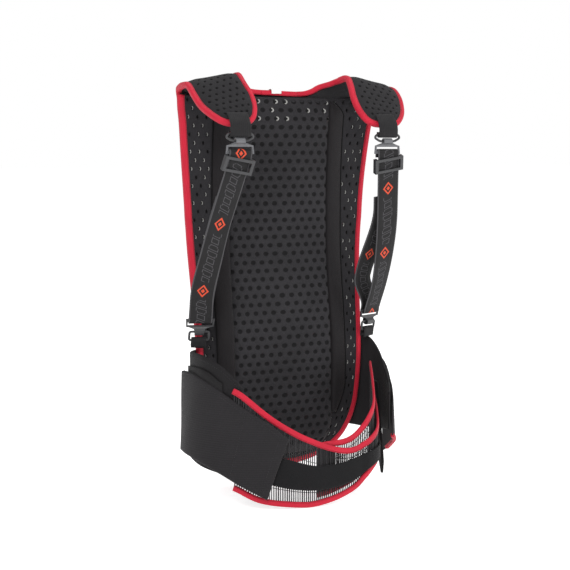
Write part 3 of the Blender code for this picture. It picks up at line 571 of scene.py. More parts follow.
def sweep(name, path, side, up, profile, mat, uv_across=None, start=0.0):
    """Closed profile [(a, b), ...] carried along a path; side and up are the profile's axes at each point."""
    verts = []
    uvs = []
    run = start
    for i, p in enumerate(path):
        if i:
            run += (path[i] - path[i - 1]).length
        for k, (a, b) in enumerate(profile):
            verts.append(p + side[i] * a + up[i] * b)
            uvs.append((run, uv_across[k] if uv_across else a))
    return make_object(name, verts, tube(len(path), len(profile)), [mat], uvs)


def frames(path, hint):
    """Side and up directions along a path: up follows the hint direction(s)."""
    sides = []
    ups = []
    for i in range(len(path)):
        t = (path[min(i + 1, len(path) - 1)] - path[max(0, i - 1)]).normalized()
        h = hint[i] if isinstance(hint, list) else hint
        up = (h - t * h.dot(t)).normalized()
        sides.append(t.cross(up))
        ups.append(up)
    return sides, ups


def stitches(name, path, normal, body, mat="thread", long=2.3, gap=1.1, wide=0.55, high=0.3):
    """Row of stitches lying on a surface; path and normals are dense and in millimetres."""
    run = distances(path)
    count = max(1, int(run[-1] / (long + gap)))

    def place(s):
        i = int(np.searchsorted(run, s)) - 1
        i = min(max(i, 0), len(path) - 2)
        f = (s - run[i]) / max(1e-9, run[i + 1] - run[i])
        return path[i].lerp(path[i + 1], f), normal[i].lerp(normal[i + 1], f).normalized()

    verts = []
    faces = []
    for k in range(count):
        s0 = k * (long + gap) + gap / 2
        a, na = place(s0)
        b, nb = place(s0 + long)
        t = (b - a).normalized()
        up = ((na + nb) / 2).normalized()
        side = t.cross(up).normalized() * wide / 2
        m = (a + b) / 2 + up * high
        base = len(verts)
        verts += [a - up * 0.1, m - side - up * 0.12, m, m + side - up * 0.12, b - up * 0.1, (a + b) / 2 - up * 0.15]
        faces += [(base, base + 2, base + 1), (base, base + 3, base + 2), (base + 4, base + 1, base + 2),
                  (base + 4, base + 2, base + 3), (base, base + 1, base + 5), (base, base + 5, base + 3),
                  (base + 4, base + 5, base + 1), (base + 4, base + 3, base + 5)]
    uvs = [(v[0], v[2]) for v in verts]
    obj = make_object(name, verts, faces, [mat], uvs)
    if body:
        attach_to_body(obj, body)
    return obj


# ---- panel surface -----------------------------------------------------------------------------
def spine(z):
    if z > LAND_Z:
        return -8.0 * ((z - LAND_Z) / 110.0) ** 2
    if z < -LAND_Z:
        return -17.0 * smooth((-LAND_Z - z) / 180.0) + 6.0 * smooth((-210.0 - z) / 130.0)
    return 0.0


def mid_y(x, z):
    return spine(z) - 6.0 * (max(0.0, abs(x) - LAND_X) / 85.0) ** 2 - HALF_THICK


OUT_X = np.array([p[0] for p in OUTLINE])
OUT_Z = np.array([p[1] for p in OUTLINE])


@functools.lru_cache(maxsize=None)
def edge_distance(x, z):
    x = abs(x)
    ax, az, bx, bz = OUT_X[:-1], OUT_Z[:-1], OUT_X[1:], OUT_Z[1:]
    dx, dz = bx - ax, bz - az
    t = np.clip(((x - ax) * dx + (z - az) * dz) / (dx * dx + dz * dz), 0, 1)
    d = np.hypot(x - ax - dx * t, z - az - dz * t).min()
    return min(float(d), 168.0 - z)


def puff(x, z):
    return EDGE_SCALE + (1 - EDGE_SCALE) * smooth((edge_distance(x, z) - 6.0) / EDGE_FADE)


def layer_y(x, z, offset):
    return mid_y(x, z) + offset * puff(x, z)


def outline_half(z):
    return float(np.interp(-z, -OUT_Z, OUT_X))


def inset_half(z, inset):
    """Half width of the panel at z, pulled in by `inset` square to the outline."""
    slope = (outline_half(z + 3) - outline_half(z - 3)) / 6.0
    return max(2.0, outline_half(z) - inset * math.sqrt(1 + slope * slope))


LINER_TOP = 158.0
LINER_LOW = -327.0


def build_liner():
    """Front liner: staggered diamond holes over the flanges, plain where the centre pad lies."""
    cols, rows = 22, 44
    step = (LINER_TOP - LINER_LOW) / rows

    def spot(s, t):
        z = LINER_TOP - t * step
        half = inset_half(z, 5.5)
        return (s / cols * 2 - 1) * half, z

    def front(s, t):
        x, z = spot(s, t)
        return Vector((x, layer_y(x, z, -HALF_THICK), z))

    def back(s, t):
        x, z = spot(s, t)
        return Vector((x, layer_y(x, z, -3.2), z))

    def hole(s, t):
        x, z = spot(s, t)
        if abs(x) < GUSSET_OUT + 3 and -262 < z < 150:
            return None
        if abs(x) < 66 and z > -312 and z < 146:
            return None
        if edge_distance(x, z) < 10:
            return None
        # about half the flange holes get a painted glint of light on one side
        lit = 1 if chance(round(s * 2), round(t * 2), 5) < 0.55 else 0
        return 1.6, 2.9, 2.6, lit

    def pitch(t):
        return 2 * spot(cols, t)[0] / cols, step

    liner = lattice_shell("liner", front, back, cols, rows, hole, ["liner", "hole", "gleam"], pitch)
    attach(liner, "back_panel", "black_mesh", "back_liner", "protector_insert")


def pad_half(z):
    return ramp([(-322, 46), (-316, 57), (-302, 71), (-283, PAD_HALF), (136, PAD_HALF), (150, 74), (157, 71)], z)


def pad_rise(c, z):
    """Height of the raised pad over the liner; c is 0 in the middle and 1 at its edge."""
    ends = min(smooth((160 - z) / 42.0), smooth((z + 323) / 16.0))
    rim = smooth((1 - abs(c)) / 0.13)
    crown = 1.0 - 0.12 * c * c
    return PAD_RISE * (0.12 + 0.88 * min(rim, ends)) * crown


def build_centre_pad():
    """Raised spacer-mesh pad with staggered oval dimples."""
    cols, rows = 12, 43
    top, low = 157.0, -320.0
    step = (top - low) / rows

    def spot(s, t):
        z = top - t * step
        c = s / cols * 2 - 1
        c = math.copysign(abs(c) ** 0.94, c)
        return c, c * pad_half(z), z

    def front(s, t):
        c, x, z = spot(s, t)
        ripple = 0.35 * math.sin(z * 0.055 + x * 0.03) + 0.25 * math.sin(x * 0.09 - z * 0.021)
        return Vector((x, layer_y(x, z, -HALF_THICK) - pad_rise(c, z) - ripple * (1 - c ** 4), z))

    def back(s, t):
        _, x, z = spot(s, t)
        return Vector((x, layer_y(x, z, -HALF_THICK) - 0.1, z))

    def hole(s, t):
        c, _, z = spot(s, t)
        if abs(c) > 0.93 or t > rows - 1.2:
            return None
        wide = 3.9 + 0.5 * chance(round(s * 2), round(t * 2), 1)
        tall = 3.3 + 0.4 * chance(round(s * 2), round(t * 2), 2)
        # near the neck a few dimples get a painted glint of light
        lit = 1 if z > 128 and chance(round(s * 2), round(t * 2), 3) < 0.4 else 0
        return wide, tall, 1.9, lit

    def pitch(t):
        return 2 * PAD_HALF / cols, step

    pad = lattice_shell("centre_pad", front, back, cols, rows, hole, ["mesh", "dimple", "gleam"], pitch)
    attach(pad, "back_panel", "black_mesh", "centre_pad_cover")


def build_gussets():
    """Smooth cloth strips rolling down both sides of the raised pad, each with a cord along its outer edge in the
    near-black recess material, painted shade of the groove there.
    """
    for sx, side in SIDES:
        def point(r, c):
            z = 151 - r * 4.0
            taper = min(1.0, math.sqrt(max(0.02, (152 - z) / 16.0)), math.sqrt(max(0.02, (z + 272) / 40.0)))
            inner = PAD_HALF - 1.2 * taper
            k = c / 8
            x = inner + (GUSSET_OUT - inner) * taper * k
            lift = 0.6 + 7.4 * math.cos(k * math.pi / 2) ** 0.8 * (0.4 + 0.6 * taper)
            crease = 0.35 * math.sin(z * 0.16 + 1.7 * math.sin(z * 0.031)) * math.sin(k * math.pi)
            y = layer_y(x, z, -HALF_THICK)
            return Vector((x * sx, y - lift - crease, z)), Vector((x * sx, y - 0.1, z)), (x * sx, z)

        grid = sheet(range(105), range(9), point)
        attach(grid_shell("gusset_" + side, grid, "gusset"), "back_panel", "black_shell", "side_gusset_" + side)
        path = [row[-1] + Vector((0.3 * sx, -0.35, 0)) for row in grid[0]]
        sides, ups = frames(path, -REAR)
        circle = [(0.7 * math.cos(a * math.pi / 3), 0.7 * math.sin(a * math.pi / 3)) for a in range(6)]
        # the cord's near-black recess material paints a line of shade along the gusset's outer edge
        attach(sweep("gusset_cord_" + side, path, sides, ups, circle, "hole"), "back_panel", "black_shell")


def build_rear_cover():
    """Rear of the protector: padded cover with sewn channels round a plain middle."""
    channels = (62.0, 96.0)
    bars = (118, 70, -62, -112, -162, -212, -262)

    def point(r, c):
        z = 159.5 - r * 3.0
        k = c / 44
        x = inset_half(z, 5.5) * math.copysign(abs(k) ** 0.97, k)
        dent = sum(1.5 * math.exp(-((abs(x) - line) / 2.2) ** 2) for line in channels)
        if abs(x) < 60:
            for bar in bars:
                dent += 1.4 * math.exp(-((z - bar + abs(x) * 0.12) / 2.4) ** 2) * smooth((60 - abs(x)) / 8)
        y = layer_y(x, z, HALF_THICK) - dent * smooth((edge_distance(x, z) - 3) / 12)
        return Vector((x, y, z)), Vector((x, layer_y(x, z, 3.0), z)), (x, z)

    grid = sheet(range(163), range(-44, 45), point)
    attach(grid_shell("rear_cover_cloth", grid, "shell"), "back_panel", "black_shell", "rear_cover")
    heights = [140 - r * 3.4 for r in range(115)]
    for line in channels:
        for sx, side in SIDES:
            path = [Vector((line * sx, layer_y(line, z, HALF_THICK) - 1.35, z)) for z in heights]
            stitches("rear_stitch_%d_%s" % (line, side), path, [REAR] * len(path), "back_panel")


# ---- bindings ----------------------------------------------------------------------------------
TAPE = [(-3.9, -3.6), (-3.9, -4.6), (-2.2, -5.2), (0.0, -5.3), (2.0, -4.9), (3.4, -3.6), (3.9, -1.6), (3.9, 1.6),
        (3.4, 3.6), (2.0, 4.9), (0.0, 5.3), (-2.2, 5.2), (-3.9, 4.6), (-3.9, 3.6)]
TAPE_U = [-6, -5, -3.4, -1.7, 0, 1.2, 2.4, 3.6, 4.8, 6, 7.4, 9, 10.6, 11.6]


def binding(name, path, hint, check=0, outward=None, wide=1.0, thick=1.0):
    """Red tape folded over an edge, with its axes; at point `check` its fold faces `outward`."""
    sides, ups = frames(path, hint)
    if outward and sides[check].dot(outward) < 0:
        sides = [-side for side in sides]
    tape = sweep(name, path, sides, ups, [(a * wide, b * thick) for a, b in TAPE], "red", TAPE_U)
    return tape, sides, ups


def build_panel_tape():
    """Red binding round the panel from one shoulder to the other."""
    half = smooth_path([(x, 0, z) for x, z in [(143.7, 158), (143.4, 153), (142.8, 147)] + OUTLINE[1:]], 150)
    loop = half + [Vector((-p.x, 0, p.z)) for p in reversed(half[:-1])]
    path = []
    for i, p in enumerate(loop):
        a = loop[max(0, i - 1)]
        b = loop[min(len(loop) - 1, i + 1)]
        t = (b - a).normalized()
        out = Vector((-t.z, 0, t.x))
        q = p - out * 3.7
        path.append(Vector((q.x, mid_y(q.x, q.z), q.z)))
    tape, sides, ups = binding("panel_tape", path, REAR, 40, Vector((1, 0, 0)))
    attach(tape, "back_panel", "red_tape", "panel_binding")
    for face, sign in (("front", -1), ("rear", 1)):
        line = [p - s * 2.5 + u * 5.15 * sign for p, s, u in zip(path, sides, ups)]
        stitches("panel_tape_stitch_" + face, line, [u * sign for u in ups], "back_panel", "red_thread")


# ---- shoulder flaps ----------------------------------------------------------------------------
def flap_lines(narrow):
    """Inner and outer edge lines of a flap; `narrow` pulls the inner edge outward between ridge and tip."""
    inner = [(xi + narrow * smooth((-60 - y) / 25) * smooth((y + 128) / 12), y, zi) for y, zi, zo, xi, xo in FLAP]
    outer = [(xo, y, zo) for y, zi, zo, xi, xo in FLAP]
    return smooth_path(inner, 81), smooth_path(outer, 81)


FLAP_TAPE = 3.2
FLAP_CORNER = 9.0
FLAP_LINES = {-1: flap_lines(6.0), 1: flap_lines(0.0)}
FLAP_OUTER = FLAP_LINES[1][1]
FLAP_LEN = length_of(FLAP_OUTER)


def flap_point(u, c, lift, sx):
    inner, outer = FLAP_LINES[sx]
    a = at(inner, u)
    b = at(outer, u)
    ahead = at(inner, u + 0.015).lerp(at(outer, u + 0.015), c)
    behind = at(inner, u - 0.015).lerp(at(outer, u - 0.015), c)
    return flip(a.lerp(b, c) + (ahead - behind).cross(b - a).normalized() * lift, sx)


def flap_normal(u, c, sx):
    return (flap_point(u, c, 1, sx) - flap_point(u, c, 0, sx)).normalized()


def flap_width(u):
    return (at(FLAP_OUTER, u) - at(FLAP_LINES[1][0], u)).length


def flap_inset(u, inset):
    """Share of the width taken by `inset` mm, growing at the rounded tip."""
    left = (1 - u) * FLAP_LEN - 3.0
    corner = 0.0
    if left < 11:
        corner = 11 - math.sqrt(max(0.0, 121 - (11 - max(0, left)) ** 2))
    return min(inset + corner, flap_width(u) / 2 - 3.0) / flap_width(u)


def blend_flap(obj):
    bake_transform(obj)


def flap_edge(sx):
    """Tape line with its normals: up the outer edge, round the tip, down the inner edge and into the neck."""
    line = []
    straight = 1 - (FLAP_TAPE + FLAP_CORNER + 0.3) / FLAP_LEN
    for k in range(60):
        u = straight * k / 59
        line.append((u, 1 - FLAP_TAPE / flap_width(u)))
    for k in range(1, 8):
        ang = math.radians(90 * k / 8)
        u = 1 - (FLAP_TAPE + FLAP_CORNER * (1 - math.sin(ang))) / FLAP_LEN
        line.append((u, 1 - (FLAP_TAPE + FLAP_CORNER * (1 - math.cos(ang))) / flap_width(u)))
    tip = 1 - FLAP_TAPE / FLAP_LEN
    line += [(tip, 0.6), (tip, 0.5)]
    line += [(u, 1 - c) for u, c in reversed(line[:-1])]
    path = [flap_point(u, c, 0, sx) for u, c in line]
    normals = [flap_normal(u, c, sx) for u, c in line]
    # the inner edge stops behind the ridge, where the neck line takes over
    cut = max(i for i, p in enumerate(path) if p.z > 175.0 or p.y < -40) + 1
    low = 1.2 if sx > 0 else 0.0
    neck = smooth_path([path[cut - 1], Vector((58 * sx, -25.5, 171.5)), Vector((49 * sx, -23, 167 - low * 0.6)),
                        Vector((38 * sx, -21.8, 164.2 - low)), Vector((24 * sx, -21.3, 163.2 - low))], 30)
    path = path[:cut] + neck[1:]
    normals = normals[:cut] + [REAR] * (len(neck) - 1)
    last = len(normals) - 1
    return resample(path, 170), [normals[min(last, int(i / 169 * last))] for i in range(170)]


def build_flaps():
    for sx, side in SIDES:
        cols, rows = 7, 18
        end = 1 - 5.0 / FLAP_LEN

        def spot(s, t):
            u = end * t / rows
            k = flap_inset(u, 3.9)
            return u, k + (1 - 2 * k) * s / cols

        def thick(s, t):
            c = s / cols
            edge = min(c, 1 - c, (rows - t) / rows * 2.2)
            return 3.3 + 2.6 * smooth(edge / 0.22)

        def front(s, t):
            u, c = spot(s, t)
            return flap_point(u, c, thick(s, t), sx)

        def back(s, t):
            u, c = spot(s, t)
            return flap_point(u, c, -thick(s, t) * 0.8, sx)

        def hole(s, t):
            if s < 0.9 or s > cols - 0.9 or t > rows - 1.4:
                return None
            return 2.5, 1.9, 1.1, 0

        def pitch(t):
            return flap_width(end * t / rows) / cols, FLAP_LEN * end / rows

        pad = lattice_shell("shoulder_pad_cloth_" + side, front, back, cols, rows, hole,
                            ["flap", "hole", "gleam"], pitch)
        blend_flap(pad)
        attach(pad, None, "black_mesh", "shoulder_pad_" + side)

        path, normals = flap_edge(sx)
        outward = path[60] - flap_point(0.5, 0.5, 0, sx)
        tape, sides, ups = binding("shoulder_tape_" + side, path, normals, 60, outward, 0.82, 0.76)
        blend_flap(tape)
        attach(tape, None, "red_tape", "shoulder_binding_" + side)
        for face, sign in (("top", 1), ("under", -1)):
            seam = [p - s * 2.0 + n * 3.92 * sign for p, s, n in zip(path, sides, ups)]
            obj = stitches("shoulder_stitch_%s_%s" % (face, side), seam, [n * sign for n in ups], None, "red_thread")
            blend_flap(obj)


def build_neck():
    """Middle of the neck edge and the blank folded label."""
    path = [Vector((x, mid_y(x, 164), 163.2 - 1.2 * smooth((x + 26) / 52))) for x in range(-26, 27, 2)]
    attach(binding("neck_tape", path, REAR, 5, UP, 0.82, 0.8)[0], "back_panel", "red_tape", "neck_binding")
    y = mid_y(-5, 164)
    h = 5.2
    rows = [(-h, 162.0), (-h - 0.1, 163.4), (-h, 165.0), (-h + 0.7, 166.6), (-h + 2.6, 167.6), (0, 167.9),
            (h - 2.6, 167.6), (h - 0.7, 166.6), (h, 164), (h, 160)]
    line = smooth_path([(0, y + a, z) for a, z in rows], 34)
    run = distances(line)

    def point(i, c):
        t = (line[min(i + 1, 33)] - line[max(0, i - 1)]).normalized()
        n = Vector((0, -t.z, t.y))
        p = line[i] + Vector((-12 + 13.6 * c / 8, 0, 0))
        bow = 0.12 * math.sin(c * 1.1 + i * 0.3)
        return p + n * (0.35 + bow), p - n * (0.25 - bow), (p.x, run[i])

    grid = sheet(range(34), range(9), point)
    attach(grid_shell("blank_label", grid, "label"), "back_panel", "white_label", "neck_label")


# ---- braces ------------------------------------------------------------------------------------
RING_TOP = Vector((103, -130.0, 108.0))
HOOK_BAR = Vector((103, -130.0, 85.4))
RUN_TOP = Vector((103, -133.6, 82.0))
RUN_END = Vector((118, -106.0, 4.0))
LOW_BAR = Vector((124, -50.0, -128.0))
LOW_DOWN = Vector((0, 0.24, -0.97)).normalized()
CLIP_SPAN = 15.5
LOW_TURN = 20.0


def arc(centre, u, v, radius, a0, a1, n):
    out = []
    for k in range(n):
        a = math.radians(a0 + (a1 - a0) * k / (n - 1))
        out.append(centre + u * (radius * math.cos(a)) + v * (radius * math.sin(a)))
    return out


def web_strip(name, pts, sides, width, mat, body, node, sx, shift=0.0):
    """Flat webbing along a path given for the right-hand side, mirrored with sx."""
    pts = [flip(p, sx) for p in pts]
    sides = [flip(s, sx) for s in sides]
    ups = []
    across = []
    for i, p in enumerate(pts):
        a = pts[max(0, i - 1)]
        b = pts[min(len(pts) - 1, i + 1)]
        t = (b - a).normalized()
        s = (sides[i] - t * sides[i].dot(t)).normalized()
        across.append(s)
        ups.append(t.cross(s))
    h = WEB_THICK / 2
    w = width / 2
    profile = [(-w, -h * 0.5), (-w + 0.5, -h), (-w * 0.5, -h * 1.05), (0, -h * 1.08), (w * 0.5, -h * 1.05),
               (w - 0.5, -h), (w, -h * 0.5), (w, h * 0.5), (w - 0.5, h), (w * 0.5, h * 1.05), (0, h * 1.08),
               (-w * 0.5, h * 1.05), (-w + 0.5, h), (-w, h * 0.5)]
    return attach(sweep(name, pts, across, ups, profile, mat, start=shift), body, "webbing", node)


def brace_path(swing):
    """Centre line and width directions of one brace; `swing` lets the return run stray toward the middle."""
    turn = math.radians(LOW_TURN)
    low_side = Vector((math.cos(turn), math.sin(turn), 0))
    low_out = LOW_DOWN.cross(low_side).normalized()
    if low_out.y > 0:
        low_out = -low_out
    pts = [HOOK_BAR + REAR * 3.6 + UP * z for z in (-6.5, -4.5, -2.5)]
    pts += arc(HOOK_BAR, REAR, UP, 3.6, 0, 180, 13)
    pts += [RUN_TOP.lerp(RUN_END, k / 20) for k in range(1, 20)]
    bend = smooth_path([RUN_TOP, RUN_END, Vector((124.5, -88, -45)), Vector((128, -69, -88)),
                        LOW_BAR + low_out * 3.4 - LOW_DOWN * 4], 90)
    pts += [p for p in bend if p.z < RUN_END.z - 2]
    pts += arc(LOW_BAR, low_out, LOW_DOWN, 3.4, 0, 180, 13)
    back = [p - low_out * 6.8 for p in reversed(bend) if p.z < 30]
    for k, p in enumerate(back):
        f = k / (len(back) - 1)
        back[k] = p + Vector((-swing, 0.35 * swing, 0)) * smooth(f * 3.5) * (1 - smooth((f - 0.3) / 0.6))
    pts += back[1:]
    sides = []
    for p in pts:
        a = turn * smooth((RUN_END.z - p.z) / 110.0)
        sides.append(Vector((math.cos(a), math.sin(a), 0)))
    return pts, sides, low_side, low_out


def build_braces():
    for sx, side in SIDES:
        pts, sides, low_side, low_out = brace_path(18.0 if sx > 0 else 2.0)
        tab = smooth_path([(103, y, z) for y, z in ((-122, 133.4), (-126.6, 128.4), (-131.4, 122), (-133.3, 115),
                                                    (-133.3, 109.5))], 16)
        tab += arc(RING_TOP, -REAR, -UP, 3.3, 0, 180, 13)[1:]
        tab += [RING_TOP + REAR * 3.3 + UP * 3.2]
        web_strip("flap_tab_" + side, tab, [Vector((1, 0, 0))] * len(tab), 27.0, "tab_web", "shoulder_flap_" + side,
                  "webbing_tab_" + side, sx)
        web_strip("brace_webbing_" + side, pts, sides, WEB_W, "web", "brace_strap_" + side, "brace_" + side, sx,
                  45.0 if sx > 0 else 0.0)
        ring_dn = LOW_BAR + LOW_DOWN * (CLIP_SPAN + 11.5)
        low = [ring_dn + low_out * 3.3 + LOW_DOWN * d for d in (9.5, 6, 3)]
        low += arc(ring_dn, low_out, -LOW_DOWN, 3.3, 0, 180, 13)
        low += [ring_dn - low_out * 3.3 + LOW_DOWN * d for d in (3, 6, 9.5)]
        web_strip("anchor_webbing_" + side, low, [low_side] * len(low), 19.0, "tab_web", "back_panel",
                  "anchor_tab_" + side, sx)


def dress_hardware():
    """CAD hardware keeps its shape and gets moulded plastic; all but the bent-wire rings get rounded edges."""
    kinds = {"upper_hook": "grey_plastic", "lower_hook": "black_plastic", "upper_ring": "black_plastic",
             "lower_ring": "black_plastic", "tri_glide": "black_plastic"}
    for name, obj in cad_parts.items():
        kind = kinds.get(name.rsplit("_", 1)[0])
        if kind is None:
            continue
        obj.data.materials.clear()
        obj.data.materials.append(MAT[kind])
        if "ring" not in name:
            mod = obj.modifiers.new("edges", "BEVEL")
            mod.width = 0.0005
            mod.segments = 2
            mod.limit_method = "ANGLE"
            mod.angle_limit = math.radians(35)


# ---- belt --------------------------------------------------------------------------------------
def belt_y(x):
    return BELT_B * max(0.0, 1 - (abs(x) / BELT_A) ** BELT_N) ** (1 / BELT_N)


def left_plan():
    pts = [(-x, BELT_CY + belt_y(x)) for x in (109, 115, 121, 127, 132, 136, 138.6)]
    pts += [(-140, BELT_CY)]
    pts += [(-x, BELT_CY - belt_y(x)) for x in (138.6, 136, 132, 127, 121, 112, 100)]
    return smooth_path(pts, 121)


def front_plan():
    pts = [(x, BELT_CY - belt_y(x)) for x in (-114, -106, -95, -78, -58, -36, -12, 12, 34, 46)]
    return smooth_path(pts + CORNER, 241)


def plan_at(line, q, offset, outward):
    q = min(max(q, 0.0), 1.0) * (len(line) - 1)
    i = min(int(q), len(line) - 2)
    p = line[i].lerp(line[i + 1], q - i)
    t = (line[min(i + 3, len(line) - 1)] - line[max(0, i - 2)]).normalized()
    n = Vector((t.y, -t.x)) * outward
    return p + n * offset


def belt_grid(line, outward, q0, q1, top, bottom, near, far, cols, rows, flare=0.0, start=None, slant=0.0,
              by_x=False, wobble=0.0, lean=(0.0, 0.0)):
    """Grids of a belt panel that follows `line`; its heights are tables over q, or over x with by_x."""
    total = length_of(line)

    def point(r, c):
        v = r / rows
        lo = q0 + (start(v) if start else 0.0)
        q = lo + (q1 + slant * v - lo) * c / cols
        key = plan_at(line, q, 0, outward).x if by_x else q
        z = ramp(top, key)
        z += (ramp(bottom, key) - z) * v
        q = min(1.0, max(0.0, q))
        extra = flare * v * v * math.sin(math.pi * q)
        extra += (lean[0] + (lean[1] - lean[0]) * v) * smooth(min(q, 1 - q) / 0.3)
        extra += wobble * math.sin(q * 17 + v * 3.1) * math.sin(v * math.pi)
        a = plan_at(line, q, far + extra, outward)
        b = plan_at(line, q, near + extra, outward)
        return Vector((a.x, a.y, z)), Vector((b.x, b.y, z)), (q * total, z)

    return sheet(range(rows + 1), range(cols + 1), point)


def belt_seam(name, body, grid, picks):
    """Stitch row over a belt panel's outer face through picked (row, column) points."""
    normals = [(grid[0][i][j] - grid[1][i][j]).normalized() for i, j in picks]
    path = [grid[0][i][j] + n * 0.05 for (i, j), n in zip(picks, normals)]
    stitches(name, path, normals, body)


OUTER_TOP = [(-114, -199), (-96, -217), (-82, -231), (-67, -243), (-52, -253), (-37, -262), (-22, -269),
             (-7, -276), (8, -281), (23, -285), (38, -284.5), (52, -279), (66, -270), (75, -260), (81, -256.5),
             (88, -247.5), (94, -242), (101, -238.5), (115, -236.5)]
OUTER_LOW = [(-114, -328), (-96, -342), (-82, -347), (-67, -350), (-37, -354), (-22, -355), (8, -350),
             (23, -345), (38, -339.5), (52, -328), (66, -312), (73, -308), (88, -308), (115, -312)]
INNER_TOP = [(-25, -277), (-7, -274.5), (17, -274), (29, -273.5), (41, -267.3), (52, -259.4), (64, -243),
             (73, -230.5), (80, -224), (90, -210), (100, -200), (111, -196), (116, -193.5)]
INNER_LOW = [(-25, -346), (4, -342), (36, -331), (52, -321), (69, -303), (93, -300), (115, -302)]
STRIP_TOP = [(-90, -279), (-64, -288), (-52, -292.5), (-22, -303), (8, -303.4), (38, -297.5), (52, -293.6),
             (69, -288.6), (95, -286)]
STRIP_LOW = [(-90, -317), (-52, -328.5), (-22, -333), (8, -331.7), (38, -324.8), (52, -316), (69, -306),
             (95, -300.5)]


def soften(table, reach=9.0):
    """Height table with its corners rounded."""
    lo, hi = table[0][0], table[-1][0]
    out = []
    for k in range(61):
        x = lo + (hi - lo) * k / 60
        total = 0.0
        for d in (-1, -0.6, -0.2, 0.2, 0.6, 1):
            total += ramp(table, min(hi, max(lo, x + d * reach)))
        out.append((x, total / 6))
    return out


def ladder(name, body, node, line, q0, q1, top, bottom, near, far):
    """Open ladder mesh: upright bars and a few cross threads."""
    pitch, bar, rows = 2.7, 1.15, 16
    total = length_of(line)
    verts = []
    faces = []
    uvs = []

    def ring(corners, u, v):
        for q, offset, z in corners:
            p = plan_at(line, q, offset, 1)
            verts.append(Vector((p.x, p.y, z)))
            uvs.append((u * total, v))

    count = int((q1 - q0) * total / pitch)
    for k in range(count):
        qa = q0 + (q1 - q0) * k / count
        qb = qa + bar / total * (0.8 + 0.5 * chance(k, 7))
        xa = plan_at(line, qa, 0, 1).x
        xb = plan_at(line, qb, 0, 1).x
        faces += tube(rows + 1, 4, len(verts))
        for step in range(rows + 1):
            f = step / rows
            sway = 0.08 * math.sin(f * math.pi * 5 + qa * 400)
            za = ramp(top, xa) * (1 - f) + ramp(bottom, xa) * f
            zb = ramp(top, xb) * (1 - f) + ramp(bottom, xb) * f
            n0, n1 = near + 0.2 + sway, far - 0.1 + sway
            ring(((qa, n0, za), (qb, n0, zb), (qb, n1, zb), (qa, n1, za)), qa, za)
    steps = int((q1 - q0) * total / 4)
    for level in (0.0, 0.16, 0.32, 0.5, 0.66, 0.83, 1.0):
        faces += tube(steps + 1, 4, len(verts))
        for k in range(steps + 1):
            q = q0 + (q1 - q0) * k / steps
            x = plan_at(line, q, 0, 1).x
            z = ramp(top, x) * (1 - level) + ramp(bottom, x) * level
            n0, n1 = near, near + 0.5
            ring(((q, n0, z - 0.35), (q, n1, z - 0.35), (q, n1, z + 0.35), (q, n0, z + 0.35)), q, z)
    obj = make_object(name, verts, faces, ["ladder"], uvs, smooth_shade=False)
    attach(obj, body, "ladder_mesh", node)


def build_pull_tab():
    """Loose end of the elastic, hanging edge-on beside the closure."""
    path = smooth_path([(122, -70, -222), (123, -73, -250), (124.2, -76, -280), (125.7, -78.5, -310),
                        (127.2, -81, -347)], 40)
    wide = Vector((-0.147, -0.989, 0))
    verts = []
    uvs = []
    for i, p in enumerate(path):
        half = 7.5 * min(1.0, 0.25 + (len(path) - 1 - i) / 7)
        t = (path[min(i + 1, 39)] - path[max(0, i - 1)]).normalized()
        thick = t.cross(wide).normalized() * 1.5
        for a, b in ((-half, -0.8), (half, -0.8), (half + 0.3, 0), (half, 0.8), (-half, 0.8), (-half - 0.3, 0)):
            verts.append(p + wide * a + thick * b)
            uvs.append((a, i * 3.0))
    tab = make_object("loose_pull_tab", verts, tube(len(path), 6), ["pile"], uvs)
    attach(tab, "belt_left", "loop_pile")


def kidney_wing(side, grid):
    wing = attach(grid_shell("kidney_wing_cloth_" + side, grid, "wing"), None, "black_mesh", "kidney_wing_" + side)
    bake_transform(wing)


def tension_wing(side, grid, patch):
    body = "tension_wing_" + side
    attach(grid_shell(body, grid, "elastic"), body, "black_shell", "outer_wing_" + side)
    attach(grid_shell("tension_patch_" + side, patch, "pile"), body, "loop_pile", "hook_patch_" + side)


def front_mesh(tag, body, line, upper, lower, q0, near, far):
    """Ladder mesh of one belt half, with a red tape and its stitches along both edges."""
    ladder("ladder_mesh_" + tag, body, "belt_mesh_" + tag, line, q0 + 0.004, 0.996, [(x, z - 5.5) for x, z in upper],
           [(x, z + 5.5) for x, z in lower], near, far)
    for edge, table, sign in (("top", upper, -1), ("bottom", lower, 1)):
        path = []
        out = []
        for k in range(181):
            q = q0 + (1 - q0) * k / 180
            p = plan_at(line, q, (near + far) / 2, 1)
            z = ramp(table, plan_at(line, q, 0, 1).x)
            path.append(Vector((p.x, p.y, z + sign * 3.5)))
            o = plan_at(line, q, 5, 1) - plan_at(line, q, 0, 1)
            out.append(Vector((o.x, o.y, 0)).normalized())
        tape, sides, ups = binding("front_tape_%s_%s" % (tag, edge), path, out, 90, UP * -sign, 0.93, 0.30)
        attach(tape, body, "red_tape", "mesh_tape_%s_%s" % (tag, edge))
        seam = [p - s * 2.4 + n * 1.55 for p, s, n in zip(path, sides, ups)]
        stitches("mesh_tape_stitch_%s_%s" % (tag, edge), seam, ups, body, "red_thread")


